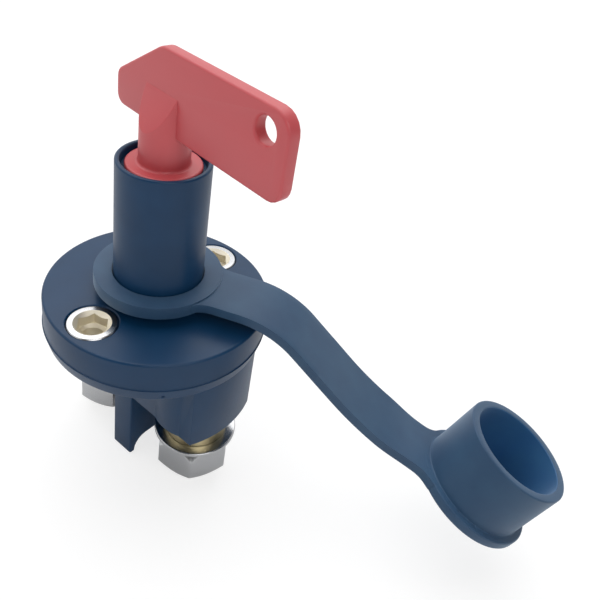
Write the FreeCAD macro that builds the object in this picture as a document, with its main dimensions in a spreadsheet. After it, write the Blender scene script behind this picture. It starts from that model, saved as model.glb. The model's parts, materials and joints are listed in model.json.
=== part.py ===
# Battery master switch, panel mounted, with a removable key and a dust cap on a strap.
# Millimetres. Z runs up the neck, X along the two terminals, Y along the two flange inserts.
# The origin is the centre of the flange's top face, which lies against the panel.

import FreeCAD, Part
import Sketcher
import math
import os

V = FreeCAD.Vector

# ---------------------------------------------------------------- driving dimensions

SIZES = [
    ("flange_margin", 7.25, "flange's edge beyond an insert's centre"),
    ("flange_depth", 6.95, "upper housing's share of the flange"),
    ("flange_round", 0.9, "rounding of the flange's top edge"),
    ("band_depth", 3.25, "lower housing's share of the flange"),
    ("band_taper", 0.85, "how far the band draws in towards its lower edge"),
    ("parting_groove", 0.25, "depth of the line where the housings meet"),
    ("neck_radius", 10.1, "outside of the neck tube"),
    ("neck_height", 33.2, "neck above the flange"),
    ("neck_bore_radius", 9.0, "bore that the rotor turns in"),
    ("rim_round", 0.45, "rounding of the neck's rim"),
    ("neck_foot_round", 0.8, "rounding where the neck meets the flange"),
    ("running_clearance", 0.05, "radial clearance of pieces that turn or slide"),
    ("seat_clearance", 0.03, "clearance of pieces that only seat"),
    ("insert_spacing", 37.0, "between the two flange inserts"),
    ("insert_radius", 5.2, "outside of an insert"),
    ("insert_head", 3.65, "thickness of the insert's head"),
    ("insert_shank_radius", 4.2, "shank under the head"),
    ("insert_lip_radius", 4.9, "rolled lip under the flange"),
    ("insert_lip", 0.6, "thickness of that lip"),
    ("insert_recess", 0.35, "insert's face below the flange face"),
    ("insert_socket_flats", 6.2, "hex socket across its flats"),
    ("insert_socket_depth", 4.6, "depth of the hex socket"),
    ("insert_bore_radius", 2.5, "M6 thread's bore under the socket"),
    ("insert_mouth_chamfer", 0.55, "chamfer round the socket's mouth"),
    ("pocket_chamfer", 0.45, "chamfer of the flange round an insert"),
    ("rotor_flange_radius", 11.3, "flange that keeps the rotor down in the neck"),
    ("rotor_flange_thickness", 2.4, "thickness of that flange"),
    ("rotor_top_drop", 2.05, "rotor's top below the rim of the neck"),
    ("thrust_seat_depth", 2.2, "ceiling of the rotor's recess below the flange face"),
    ("thrust_thickness", 0.4, "thrust washer over the rotor's flange"),
    ("seal_width", 1.6, "section of the rotor's sealing ring"),
    ("seal_section", 1.2, "radial depth of the sealing groove"),
    ("seal_rise", 8.0, "sealing groove above the flange face"),
    ("socket_depth", 17.6, "depth of the key's socket in the rotor"),
    ("cam_inner_radius", 4.3, "inside of the face cam"),
    ("cam_outer_radius", 6.9, "outside of the face cam"),
    ("cam_lift", 2.5, "travel that a quarter turn gives"),
    ("cam_span", 132.0, "angle that each lobe of the rotor's cam covers"),
    ("follower_span", 40.0, "angle that each follower covers"),
    ("cam_side_gap", 0.1, "follower inside the cam's width, each side"),
    ("cam_root", 0.5, "rotor's flange to the top of the cam"),
    ("key_rest_angle", -8.0, "handle from the terminal line when the key is in and off"),
    ("key_shaft_radius", 5.4, "round shaft of the key"),
    ("key_collar_radius", 8.1, "collar that closes the neck"),
    ("key_collar_thickness", 1.3, "thickness of the collar"),
    ("key_collar_drop", 0.7, "collar's face below the rim"),
    ("key_lug_reach", 7.8, "tip of each driving lug from the axis"),
    ("key_lug_width", 3.0, "width of a driving lug"),
    ("key_lug_height", 4.0, "height of a driving lug"),
    ("key_tip_gap", 1.0, "key's tip above the floor of its socket"),
    ("blade_thickness", 2.9, "handle blade"),
    ("blade_long_reach", 34.7, "long side of the handle from the axis"),
    ("blade_short_reach", 16.0, "short side of the handle from the axis"),
    ("blade_bottom", 39.8, "handle's lower edge above the flange face"),
    ("blade_height", 16.9, "handle's full height"),
    ("blade_short_height", 7.2, "height of the handle's short end"),
    ("blade_peak", 1.5, "where the top edge starts to fall, from the axis"),
    ("blade_corner", 2.8, "rounding of the handle's other corners"),
    ("blade_far_corner", 4.0, "rounding of the handle's top corners"),
    ("blade_edge_round", 0.5, "rounding of the handle's edges"),
    ("wedge_top", 8.2, "where the shaft's wedge ends, above the blade's lower edge"),
    ("wedge_height", 7.9, "height of the wedge's slopes"),
    ("lanyard_radius", 2.6, "lanyard hole"),
    ("lanyard_inset", 5.7, "lanyard hole from the handle's long end"),
    ("lanyard_rise", 12.1, "lanyard hole above the handle's lower edge"),
    ("terminal_spacing", 30.8, "between the two terminals"),
    ("body_half_width", 9.8, "half the width of the contact body"),
    ("body_depth", 16.8, "contact body below the band"),
    ("boss_radius", 10.6, "round swelling of the body at each terminal"),
    ("chamber_half_width", 7.4, "half the width of the contact chamber"),
    ("floor_thickness", 5.0, "floor of the contact chamber"),
    ("edge_break", 0.5, "small chamfers"),
    ("spring_boss_height", 1.5, "boss that centres the return spring"),
    ("gasket_thickness", 0.8, "gasket between the housings"),
    ("terminal_margin", 10.35, "least room from a terminal's centre to the flange's edge"),
    ("gasket_margin", 0.9, "housing between an insert and the gasket"),
    ("gasket_width", 1.0, "width of the gasket ring"),
    ("fin_thickness", 6.2, "divider between the terminals"),
    ("fin_height", 19.7, "divider below the contact body"),
    ("fin_corner", 0.6, "rounding of the divider's feet"),
    ("arch_half_width", 8.15, "half the width of the arch under the divider"),
    ("arch_height", 3.9, "height of the arch"),
    ("arch_round", 3.8, "rounding of the arch's corners"),
    ("stud_radius", 5.0, "M10 contact stud"),
    ("stud_head_radius", 6.8, "head of a contact stud"),
    ("stud_head_thickness", 3.5, "thickness of that head"),
    ("stud_proud", 2.6, "stud's end beyond its nut"),
    ("stud_tip_chamfer", 0.9, "chamfer of the stud's end"),
    ("bush_radius", 7.5, "brass bush under the contact body"),
    ("bush_length", 4.85, "length of the bush"),
    ("washer_radius", 9.8, "M10 washer"),
    ("washer_thickness", 1.05, "thickness of the washer"),
    ("nut_flats", 16.0, "M10 nut across its flats"),
    ("nut_height", 8.4, "height of the nut"),
    ("nut_front_turn", 10.0, "angle of a corner of the front nut from X"),
    ("nut_rear_turn", 20.0, "angle of a corner of the rear nut from X"),
    ("bridge_width", 12.0, "width of the contact bridge"),
    ("bridge_end_inset", 0.8, "round end's centre inboard of the contact"),
    ("bridge_thickness", 2.5, "thickness of the contact bridge"),
    ("tip_radius", 4.0, "contact tip"),
    ("tip_height", 1.0, "contact tip below the bridge"),
    ("contact_gap", 2.6, "tip to stud head when the switch is off"),
    ("carrier_half_length", 8.0, "half the length of the carrier"),
    ("carrier_half_width", 7.0, "half the width of the carrier"),
    ("carrier_hub_radius", 4.0, "hub that holds the pressure spring"),
    ("carrier_hub_rise", 3.95, "hub above the carrier's plate"),
    ("carrier_web", 2.3, "carrier's plate over the bridge"),
    ("carrier_skirt", 2.6, "carrier's sides below the plate"),
    ("spring_pocket_radius", 3.3, "pocket in the hub"),
    ("hub_roof", 1.2, "wall over the pocket"),
    ("pressure_wire", 0.7, "wire of the pressure spring"),
    ("pressure_radius", 2.6, "mean radius of the pressure spring"),
    ("return_wire", 1.0, "wire of the return spring"),
    ("return_radius", 5.0, "mean radius of the return spring"),
    ("ring_radius", 14.4, "outside of the dust cap's ring"),
    ("ring_thickness", 2.9, "thickness of the ring"),
    ("ring_lift", 2.6, "ring above the flange face"),
    ("ring_edge", 0.7, "rounding of the ring's top edge"),
    ("ring_clearance", 0.3, "ring round the neck"),
    ("strap_angle", 22.4, "direction of the strap from X"),
    ("strap_width", 13.8, "width of the strap"),
    ("strap_thickness", 2.1, "thickness of the strap"),
    ("strap_step", 0.4, "ring's face above the strap's face"),
    ("strap_run", 21.5, "flat run of the strap from the neck's axis"),
    ("strap_bend_radius", 22.0, "bend where the strap drops off the flange"),
    ("strap_drop_angle", 40.5, "slope of the strap's straight stretch"),
    ("strap_straight", 13.4, "length of that stretch"),
    ("strap_sweep_radius", 79.0, "long bend towards the cap"),
    ("strap_flare", 2.0, "rounding where the strap meets ring and cap"),
    ("flex_gap", 0.3, "gap at each place where the strap is divided to flex"),
    ("ring_tab", 17.0, "end of the ring's tab from the neck's axis"),
    ("cap_tilt", 24.2, "slope of the cap along the strap"),
    ("cap_roll", 6.1, "lean of the cap across the strap"),
    ("cap_tail", 2.0, "tail of the cap's base beyond its rim"),
    ("cap_bore_radius", 10.5, "inside of the cap"),
    ("cap_wall", 1.95, "wall of the cap"),
    ("cap_height", 16.7, "height of the cap with its base"),
    ("cap_base_radius", 14.55, "base flange of the cap"),
    ("cap_base_thickness", 2.4, "thickness of the base flange"),
    ("cap_floor", 2.6, "floor of the cap"),
    ("cap_lip_round", 0.5, "rounding of the cap's mouth"),
]

doc = FreeCAD.newDocument("battery_switch")
sheet = doc.addObject("Spreadsheet::Sheet", "sizes")
for row, (alias, value, note) in enumerate(SIZES, start=1):
    sheet.set(f"A{row}", alias)
    sheet.set(f"B{row}", str(value))
    sheet.setAlias(f"B{row}", alias)
    sheet.set(f"C{row}", note)
doc.recompute()



# ---------------------------------------------------------------- helpers

class Size:
    """A number that also knows its expression in the sheet."""

    def __init__(self, text, value):
        self.text = text
        self.value = value

    def __add__(self, other):
        other = size(other)
        return Size(f"({self.text} + {other.text})", self.value + other.value)

    def __sub__(self, other):
        other = size(other)
        return Size(f"({self.text} - {other.text})", self.value - other.value)

    def __mul__(self, other):
        other = size(other)
        return Size(f"({self.text} * {other.text})", self.value * other.value)

    def __truediv__(self, other):
        other = size(other)
        return Size(f"({self.text} / {other.text})", self.value / other.value)

    def __neg__(self):
        return Size(f"(-{self.text})", -self.value)


def size(number):
    return number if isinstance(number, Size) else Size(repr(float(number)), float(number))


def sine(angle):
    return Size(f"sin({angle.text})", math.sin(math.radians(angle.value)))


def cosine(angle):
    return Size(f"cos({angle.text})", math.cos(math.radians(angle.value)))


def larger(one, other):
    return Size(f"max({one.text}; {other.text})", max(one.value, other.value))


class Dimensions:
    """The sheet's numbers by name."""


dim = Dimensions()
for alias, value, note in SIZES:
    setattr(dim, alias, Size(f"sizes.{alias}", value))


def bind(obj, **sizes):
    """Ties properties of an object to sizes."""
    for name, amount in sizes.items():
        obj.setExpression(name, size(amount).text)
    return obj


def place(obj, x=0, y=0, z=0, yaw=0, pitch=0, roll=0):
    """Ties the whole placement of an object to sizes."""
    spot = "; ".join(size(amount).text for amount in (x, y, z))
    turn = "; ".join(size(amount).text for amount in (yaw, pitch, roll))
    obj.setExpression("Placement", f"placement(vector({spot}); rotation({turn}))")
    return obj


def new_body(label):
    body = doc.addObject("PartDesign::Body", label)
    body.Label = label
    return body


def attach(body, sketch, plane, lift):
    """Lays a sketch on an origin plane of its own body, lifted off it along its normal."""
    for feature in body.Origin.OriginFeatures:
        if feature.Role == plane + "_Plane":
            sketch.AttachmentSupport = [(feature, "")]
    sketch.MapMode = "FlatFace"
    sketch.setExpression("AttachmentOffset.Base.z", size(lift).text)


def arc_between(start, end, radius):
    """Arc from start to end; a positive radius turns left, a negative one right."""
    chord = end - start
    half = chord.Length / 2
    bulge = math.sqrt(max(radius * radius - half * half, 0.0))
    left = V(-chord.y, chord.x, 0).normalize()
    centre = (start + end) / 2 + left * (bulge if radius > 0 else -bulge)
    first, last = (start, end) if radius > 0 else (end, start)
    from_angle = math.atan2(first.y - centre.y, first.x - centre.x)
    to_angle = math.atan2(last.y - centre.y, last.x - centre.x)
    circle = Part.Circle(centre, V(0, 0, 1), abs(radius))
    return Part.ArcOfCircle(circle, from_angle, to_angle)


def outline(body, plane, name, *loops, lift=0):
    """Sketch of closed loops. A corner is (x, y), or (x, y, radius of the arc that follows)."""
    sketch = body.newObject("Sketcher::SketchObject", name)
    attach(body, sketch, plane, lift)
    for corners in loops:
        first = sketch.GeometryCount
        ends = []
        for here, following in zip(corners, corners[1:] + corners[:1]):
            start = V(size(here[0]).value, size(here[1]).value, 0)
            end = V(size(following[0]).value, size(following[1]).value, 0)
            if len(here) == 3:
                radius = size(here[2])
                number = sketch.addGeometry(arc_between(start, end, radius.value), False)
                rule = sketch.addConstraint(
                    Sketcher.Constraint("Radius", number, abs(radius.value)))
                positive = radius if radius.value > 0 else -radius
                sketch.setExpression(f"Constraints[{rule}]", positive.text)
                ends.append((1, 2) if radius.value > 0 else (2, 1))
            else:
                sketch.addGeometry(Part.LineSegment(start, end), False)
                ends.append((1, 2))
        for i, corner in enumerate(corners):
            j = (i + 1) % len(corners)
            sketch.addConstraint(Sketcher.Constraint(
                "Coincident", first + i, ends[i][1], first + j, ends[j][0]))
            for kind, amount in (("DistanceX", size(corner[0])), ("DistanceY", size(corner[1]))):
                rule = sketch.addConstraint(
                    Sketcher.Constraint(kind, first + i, ends[i][0], amount.value))
                sketch.setExpression(f"Constraints[{rule}]", amount.text)
    return sketch


def circles(body, plane, name, radius, centres=((0, 0),), lift=0):
    """Sketch of equal circles."""
    sketch = body.newObject("Sketcher::SketchObject", name)
    attach(body, sketch, plane, lift)
    radius = size(radius)
    for x, y in centres:
        x = size(x)
        y = size(y)
        number = sketch.addGeometry(
            Part.Circle(V(x.value, y.value, 0), V(0, 0, 1), radius.value), False)
        for kind, amount in (("DistanceX", x), ("DistanceY", y)):
            rule = sketch.addConstraint(Sketcher.Constraint(kind, number, 3, amount.value))
            sketch.setExpression(f"Constraints[{rule}]", amount.text)
        rule = sketch.addConstraint(Sketcher.Constraint("Radius", number, radius.value))
        sketch.setExpression(f"Constraints[{rule}]", radius.text)
    return sketch


def box_loop(x0, y0, x1, y1):
    return [(x0, y0), (x1, y0), (x1, y1), (x0, y1)]


def slab_loop(half_x, half_y):
    return box_loop(-size(half_x), -size(half_y), half_x, half_y)


def hexagon(flats, turn):
    """Corners of a hexagon; turn is the angle of one corner from X."""
    corner = flats / 2 / cosine(size(30))
    return [(corner * cosine(turn + 60 * i), corner * sine(turn + 60 * i)) for i in range(6)]


def step(body, kind, name, sketch, **sizes):
    """A feature of a body made from a sketch."""
    feature = body.newObject("PartDesign::" + kind, name)
    feature.Profile = sketch
    bind(feature, **sizes)
    body.Tip = feature
    return feature


def turn(body, name, loop, kind="Revolution"):
    """Turns a profile in the XZ plane about Z; kind Groove cuts instead."""
    sketch = outline(body, "XZ", name + "_profile", loop)
    feature = step(body, kind, name, sketch)
    feature.ReferenceAxis = (sketch, ["V_Axis"])
    feature.Angle = 360
    return feature


def pad(body, name, sketch, length, down=False, both=False):
    feature = step(body, "Pad", name, sketch, Length=length)
    feature.Reversed = down
    if both:
        feature.SideType = "Symmetric"
    return feature


def pocket(body, name, sketch, length, up=False, both=False):
    feature = step(body, "Pocket", name, sketch, Length=length)
    feature.Reversed = up
    if both:
        feature.SideType = "Symmetric"
    return feature


def spiral(body, name, sketch, pitch, height):
    """Sweeps a profile down a helix that falls as it runs counter-clockwise."""
    feature = step(body, "AdditiveHelix", name, sketch, Pitch=pitch, Height=height)
    feature.ReferenceAxis = (sketch, ["V_Axis"])
    feature.Mode = "pitch-height-angle"
    feature.LeftHanded = True
    feature.Reversed = True
    return feature


def repeat(body, name, feature, count):
    """Repeats a feature round Z."""
    pattern = body.newObject("PartDesign::PolarPattern", name)
    pattern.Originals = [feature]
    pattern.Axis = (feature.Profile[0], ["V_Axis"])
    pattern.Angle = 360
    pattern.Occurrences = count
    body.Tip = pattern
    return pattern


def dress(body, kind, name, amount, chosen):
    """Rounds or chamfers the edges of the body's last feature that the test picks."""
    doc.recompute()
    base = body.Tip
    edges = [f"Edge{i}" for i, edge in enumerate(base.Shape.Edges, start=1) if chosen(edge)]
    if not edges:
        raise RuntimeError(f"{body.Label}: no edge for {name}")
    feature = body.newObject("PartDesign::" + kind, name)
    feature.Base = (base, edges)
    bind(feature, **{"Radius" if kind == "Fillet" else "Size": amount})
    body.Tip = feature
    return feature


def near(a, b):
    return abs(a - size(b).value) < 1e-4


def hoop(radius, z):
    """Picks whole circles of a radius at a height."""
    def test(edge):
        round_edge = isinstance(edge.Curve, Part.Circle) and near(edge.Curve.Radius, radius)
        return round_edge and near(edge.BoundBox.ZMin, z) and near(edge.BoundBox.ZMax, z)
    return test


def either(*tests):
    return lambda edge: any(test(edge) for test in tests)




def through(axis, *points):
    """Picks straight edges along an axis that pass through a point of the other two axes."""
    others = [i for i in range(3) if i != axis]

    def test(edge):
        if not isinstance(edge.Curve, Part.Line):
            return False
        a, b = edge.Vertexes[0].Point, edge.Vertexes[-1].Point
        along = all(abs(a[i] - b[i]) < 1e-6 for i in others)
        return along and any(
            all(near(a[i], point[j]) for j, i in enumerate(others)) for point in points)
    return test


def coil(label, radius, wire, bottom, top, turns):
    """Coil spring between two heights."""
    spine = doc.addObject("Part::Helix", label + "_path")
    height = top - bottom - wire
    bind(spine, Radius=radius, Height=height, Pitch=height / turns)
    place(spine, z=bottom + wire / 2)
    section = doc.addObject("Part::Circle", label + "_wire")
    bind(section, Radius=wire / 2)
    place(section, x=radius, z=bottom + wire / 2, roll=90)
    spring = doc.addObject("Part::Sweep", label)
    spring.Label = label
    spring.Sections = [section]
    spring.Spine = (spine, [])
    spring.Solid = True
    spring.Frenet = True
    return spring


half_terminals = dim.terminal_spacing / 2
half_inserts = dim.insert_spacing / 2
flange_radius = larger(half_inserts + dim.flange_margin, half_terminals + dim.terminal_margin)
band_top_radius = flange_radius - 0.05
band_low_radius = band_top_radius - dim.band_taper
terminals = ((half_terminals, 0), (-half_terminals, 0))
insert_places = ((0, half_inserts), (0, -half_inserts))
parting = -dim.flange_depth
band_bottom = parting - dim.band_depth
body_bottom = band_bottom - dim.body_depth
floor_top = body_bottom + dim.floor_thickness
insert_face = -dim.insert_recess
head_bottom = insert_face - dim.insert_head

# ---------------------------------------------------------------- upper housing

thrust_seat = -dim.thrust_seat_depth
recess_radius = dim.rotor_flange_radius + 0.5

upper = new_body("upper_housing")
turn(upper, "flange_and_neck", [
    (dim.neck_bore_radius, thrust_seat),
    (recess_radius, thrust_seat),
    (recess_radius, parting),
    (flange_radius, parting),
    (flange_radius, 0),
    (dim.neck_radius, 0),
    (dim.neck_radius, dim.neck_height),
    (dim.neck_bore_radius, dim.neck_height),
])
pocket(upper, "insert_seats",
       circles(upper, "XY", "seat_circles", dim.insert_radius + dim.seat_clearance, insert_places),
       -head_bottom)
pocket(upper, "insert_holes",
       circles(upper, "XY", "hole_circles", dim.insert_shank_radius + dim.seat_clearance,
               insert_places),
       dim.flange_depth + 1)
dress(upper, "Fillet", "flange_edge", dim.flange_round, hoop(flange_radius, 0))
dress(upper, "Fillet", "neck_foot", dim.neck_foot_round, hoop(dim.neck_radius, 0))
dress(upper, "Fillet", "neck_rim", dim.rim_round,
      either(hoop(dim.neck_radius, dim.neck_height), hoop(dim.neck_bore_radius, dim.neck_height)))
dress(upper, "Chamfer", "seat_mouths", dim.pocket_chamfer,
      hoop(dim.insert_radius + dim.seat_clearance, 0))

# ---------------------------------------------------------------- lower housing

gasket_inner = flange_radius - dim.flange_margin + dim.insert_shank_radius + dim.gasket_margin
gasket_outer = gasket_inner + dim.gasket_width

lower = new_body("lower_housing")
turn(lower, "band", [
    (0, band_bottom),
    (band_low_radius, band_bottom),
    (band_top_radius, parting - dim.parting_groove),
    (band_top_radius - dim.parting_groove, parting),
    (0, parting),
])
pad(lower, "contact_body",
    outline(lower, "XY", "body_outline", slab_loop(flange_radius, dim.body_half_width),
            lift=band_bottom),
    dim.body_depth, down=True)
pad(lower, "terminal_bosses",
    circles(lower, "XY", "boss_circles", dim.boss_radius, terminals, lift=band_bottom),
    dim.body_depth, down=True)
turn(lower, "round_ends", [
    (band_low_radius, body_bottom - 1),
    (flange_radius + 5, body_bottom - 1),
    (flange_radius + 5, band_bottom),
    (band_low_radius, band_bottom),
], "Groove")
pad(lower, "divider",
    outline(lower, "XY", "divider_outline", slab_loop(dim.fin_thickness / 2, dim.body_half_width),
            lift=body_bottom + 1),
    dim.fin_height + 1, down=True)
fin_bottom = body_bottom - dim.fin_height
arch_top = fin_bottom + dim.arch_height
pocket(lower, "arch",
       outline(lower, "YZ", "arch_outline",
               box_loop(-dim.arch_half_width, fin_bottom - 1, dim.arch_half_width, arch_top)),
       dim.fin_thickness + 2, both=True)
dress(lower, "Fillet", "arch_corners", dim.arch_round,
      through(0, (dim.arch_half_width, arch_top), (-dim.arch_half_width, arch_top)))
dress(lower, "Fillet", "divider_feet", dim.fin_corner,
      through(0, (dim.body_half_width, fin_bottom), (-dim.body_half_width, fin_bottom)))
pocket(lower, "chamber",
       outline(lower, "XY", "chamber_outline", slab_loop(half_terminals, dim.chamber_half_width),
               lift=parting),
       parting - floor_top)
pocket(lower, "chamber_ends",
       circles(lower, "XY", "chamber_circles", dim.chamber_half_width, terminals, lift=parting),
       parting - floor_top)
pad(lower, "spring_boss",
    circles(lower, "XY", "boss_circle", dim.return_radius - dim.return_wire / 2 - 0.3,
            lift=floor_top - 1),
    dim.spring_boss_height + 1)
pocket(lower, "stud_holes",
       circles(lower, "XY", "stud_circles", dim.stud_radius + dim.seat_clearance, terminals,
               lift=floor_top + 1),
       dim.floor_thickness + 2)
pocket(lower, "insert_holes_below",
       circles(lower, "XY", "insert_circles", dim.insert_shank_radius + dim.seat_clearance,
               insert_places, lift=parting + 1),
       dim.band_depth + 2)
turn(lower, "gasket_groove", [
    (gasket_inner, parting - dim.gasket_thickness),
    (gasket_outer, parting - dim.gasket_thickness),
    (gasket_outer, parting + 1),
    (gasket_inner, parting + 1),
], "Groove")

gasket = new_body("housing_gasket")
turn(gasket, "gasket_ring", [
    (gasket_inner, parting - dim.gasket_thickness),
    (gasket_outer, parting - dim.gasket_thickness),
    (gasket_outer, parting),
    (gasket_inner, parting),
])

# ---------------------------------------------------------------- inserts

socket_corner = dim.insert_socket_flats / 2 / cosine(size(30))
lip_bottom = band_bottom - dim.insert_lip

for label, y in (("mounting_insert_front", -half_inserts), ("mounting_insert_rear", half_inserts)):
    insert = new_body(label)
    turn(insert, "insert_turned", [
        (dim.insert_bore_radius, lip_bottom),
        (dim.insert_lip_radius, lip_bottom),
        (dim.insert_lip_radius, band_bottom),
        (dim.insert_shank_radius, band_bottom),
        (dim.insert_shank_radius, head_bottom),
        (dim.insert_radius, head_bottom),
        (dim.insert_radius, insert_face - dim.edge_break),
        (dim.insert_radius - dim.edge_break, insert_face),
        (dim.insert_bore_radius, insert_face),
    ])
    pocket(insert, "hex_socket",
           outline(insert, "XY", "socket_outline",
                   hexagon(dim.insert_socket_flats, size(15)), lift=insert_face),
           dim.insert_socket_depth)
    turn(insert, "socket_mouth", [
        (0, insert_face - dim.insert_mouth_chamfer),
        (socket_corner + 0.15 - dim.insert_mouth_chamfer, insert_face - dim.insert_mouth_chamfer),
        (socket_corner + 0.15, insert_face),
        (0, insert_face),
    ], "Groove")
    place(insert, y=y)

# ---------------------------------------------------------------- rotor

washer_bottom = thrust_seat - dim.thrust_thickness
rotor_flange_top = washer_bottom - dim.running_clearance
rotor_bottom = rotor_flange_top - dim.rotor_flange_thickness
rotor_top = dim.neck_height - dim.rotor_top_drop
rotor_radius = dim.neck_bore_radius - dim.running_clearance
socket_floor = rotor_top - dim.socket_depth
seal_inner = rotor_radius - dim.seal_section
cam_pitch = dim.cam_lift * 4
cam_top = rotor_bottom - dim.cam_root

rotor = new_body("rotor")
turn(rotor, "barrel", [
    (0, rotor_bottom),
    (dim.rotor_flange_radius, rotor_bottom),
    (dim.rotor_flange_radius, rotor_flange_top),
    (rotor_radius, rotor_flange_top),
    (rotor_radius, dim.seal_rise),
    (seal_inner, dim.seal_rise),
    (seal_inner, dim.seal_rise + dim.seal_width),
    (rotor_radius, dim.seal_rise + dim.seal_width),
    (rotor_radius, rotor_top),
    (dim.key_shaft_radius + dim.running_clearance, rotor_top),
    (dim.key_shaft_radius + dim.running_clearance, socket_floor),
    (0, socket_floor),
])
pocket(rotor, "lug_slots",
       outline(rotor, "XY", "slot_outline",
               slab_loop(dim.key_lug_reach + dim.running_clearance,
                         dim.key_lug_width / 2 + dim.running_clearance),
               lift=rotor_top + 1),
       dim.socket_depth + 1)
cam_profile = outline(rotor, "XZ", "cam_profile",
                      box_loop(dim.cam_inner_radius, cam_top,
                               dim.cam_outer_radius, rotor_bottom + dim.cam_lift * 1.5))
cam_lobe = spiral(rotor, "cam_lobe", cam_profile, cam_pitch, cam_pitch * dim.cam_span / 360)
repeat(rotor, "cam_lobes", cam_lobe, 2)
place(rotor, yaw=dim.key_rest_angle)

thrust = new_body("thrust_washer")
turn(thrust, "washer_turned", [
    (dim.neck_bore_radius + 0.2, washer_bottom),
    (dim.rotor_flange_radius, washer_bottom),
    (dim.rotor_flange_radius, thrust_seat),
    (dim.neck_bore_radius + 0.2, thrust_seat),
])

seal = new_body("rotor_seal")
turn(seal, "seal_ring", [
    (seal_inner, dim.seal_rise + dim.seat_clearance),
    (dim.neck_bore_radius - 0.01, dim.seal_rise + dim.seat_clearance),
    (dim.neck_bore_radius - 0.01, dim.seal_rise + dim.seal_width - dim.seat_clearance),
    (seal_inner, dim.seal_rise + dim.seal_width - dim.seat_clearance),
])
dress(seal, "Fillet", "seal_round", dim.seal_section / 3,
      either(hoop(dim.neck_bore_radius - 0.01, dim.seal_rise + dim.seat_clearance),
             hoop(dim.neck_bore_radius - 0.01,
                  dim.seal_rise + dim.seal_width - dim.seat_clearance)))

# ---------------------------------------------------------------- key

collar_top = dim.neck_height - dim.key_collar_drop
collar_bottom = collar_top - dim.key_collar_thickness
key_tip = socket_floor + dim.key_tip_gap
half_blade = dim.blade_thickness / 2
blade_top = dim.blade_bottom + dim.blade_height
wedge_top = dim.blade_bottom + dim.wedge_top
wedge_foot = wedge_top - dim.wedge_height

key = new_body("key")
pad(key, "blade",
    outline(key, "XZ", "blade_outline", [
        (-dim.blade_short_reach, dim.blade_bottom),
        (dim.blade_long_reach, dim.blade_bottom),
        (dim.blade_long_reach, blade_top),
        (dim.blade_peak, blade_top),
        (-dim.blade_short_reach, dim.blade_bottom + dim.blade_short_height),
    ]),
    dim.blade_thickness, both=True)
dress(key, "Fillet", "blade_far_corner", dim.blade_far_corner,
      through(1, (dim.blade_long_reach, blade_top), (dim.blade_peak, blade_top)))
dress(key, "Fillet", "blade_corners", dim.blade_corner,
      through(1, (dim.blade_long_reach, dim.blade_bottom),
              (-dim.blade_short_reach, dim.blade_bottom),
              (-dim.blade_short_reach, dim.blade_bottom + dim.blade_short_height)))
dress(key, "Fillet", "blade_edges", dim.blade_edge_round,
      lambda edge: edge.BoundBox.YLength < 1e-6)
pocket(key, "lanyard_hole",
       circles(key, "XZ", "lanyard_circle", dim.lanyard_radius,
               ((dim.blade_long_reach - dim.lanyard_inset,
                 dim.blade_bottom + dim.lanyard_rise),)),
       dim.blade_thickness + 2, both=True)
turn(key, "shaft_and_collar", [
    (0, key_tip),
    (dim.key_shaft_radius - dim.edge_break, key_tip),
    (dim.key_shaft_radius, key_tip + dim.edge_break),
    (dim.key_shaft_radius, collar_bottom),
    (dim.key_collar_radius, collar_bottom),
    (dim.key_collar_radius, collar_top),
    (dim.key_shaft_radius, collar_top),
    (dim.key_shaft_radius, wedge_top),
    (0, wedge_top),
])
dress(key, "Fillet", "collar_edge", dim.edge_break, hoop(dim.key_collar_radius, collar_top))
wedge_cuts = []
for side in (1, -1):
    wedge_cuts.append([
        (half_blade * side, wedge_top + 1),
        (half_blade * side, wedge_top),
        (dim.key_shaft_radius * side, wedge_foot),
        ((dim.key_shaft_radius + 2) * side, wedge_foot),
        ((dim.key_shaft_radius + 2) * side, wedge_top + 1),
    ])
pocket(key, "wedge", outline(key, "YZ", "wedge_sides", *wedge_cuts),
       dim.key_shaft_radius * 3, both=True)
pad(key, "lugs",
    outline(key, "XY", "lug_outline", slab_loop(dim.key_lug_reach, dim.key_lug_width / 2),
            lift=key_tip + dim.edge_break),
    dim.key_lug_height)
place(key, yaw=dim.key_rest_angle)

# ---------------------------------------------------------------- carrier and contact bridge

plate_top = rotor_bottom - dim.cam_root - cam_pitch * dim.cam_span / 360 - 0.2
plate_bottom = plate_top - dim.carrier_web
hub_top = plate_top + dim.carrier_hub_rise
head_top = floor_top + dim.stud_head_thickness
tip_bottom = head_top + dim.contact_gap
bridge_bottom = tip_bottom + dim.tip_height
bridge_top = bridge_bottom + dim.bridge_thickness
half_bridge = dim.bridge_width / 2
follower_top = cam_top - dim.running_clearance

carrier = new_body("bridge_carrier")
pad(carrier, "carrier_plate",
    outline(carrier, "XY", "plate_outline",
            slab_loop(dim.carrier_half_length, dim.carrier_half_width), lift=plate_bottom),
    dim.carrier_web)
pad(carrier, "hub",
    circles(carrier, "XY", "hub_circle", dim.carrier_hub_radius, lift=plate_bottom),
    hub_top - plate_bottom)
skirt_inner = half_bridge + dim.running_clearance
pad(carrier, "skirts",
    outline(carrier, "XY", "skirt_outlines",
            box_loop(-dim.carrier_half_length, skirt_inner,
                     dim.carrier_half_length, dim.carrier_half_width),
            box_loop(-dim.carrier_half_length, -dim.carrier_half_width,
                     dim.carrier_half_length, -skirt_inner),
            lift=plate_bottom),
    dim.carrier_skirt, down=True)
follower_profile = outline(
    carrier, "XZ", "follower_profile",
    box_loop(dim.cam_inner_radius + dim.cam_side_gap, plate_bottom + 1.5,
             dim.cam_outer_radius - dim.cam_side_gap, follower_top))
follower_profile.setExpression("AttachmentOffset.Rotation.Axis.y", "1")
follower_profile.setExpression("AttachmentOffset.Rotation.Axis.z", "0")
follower_profile.setExpression("AttachmentOffset.Rotation.Angle", dim.key_rest_angle.text)
follower = spiral(carrier, "follower", follower_profile, cam_pitch,
                  cam_pitch * dim.follower_span / 360)
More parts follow.
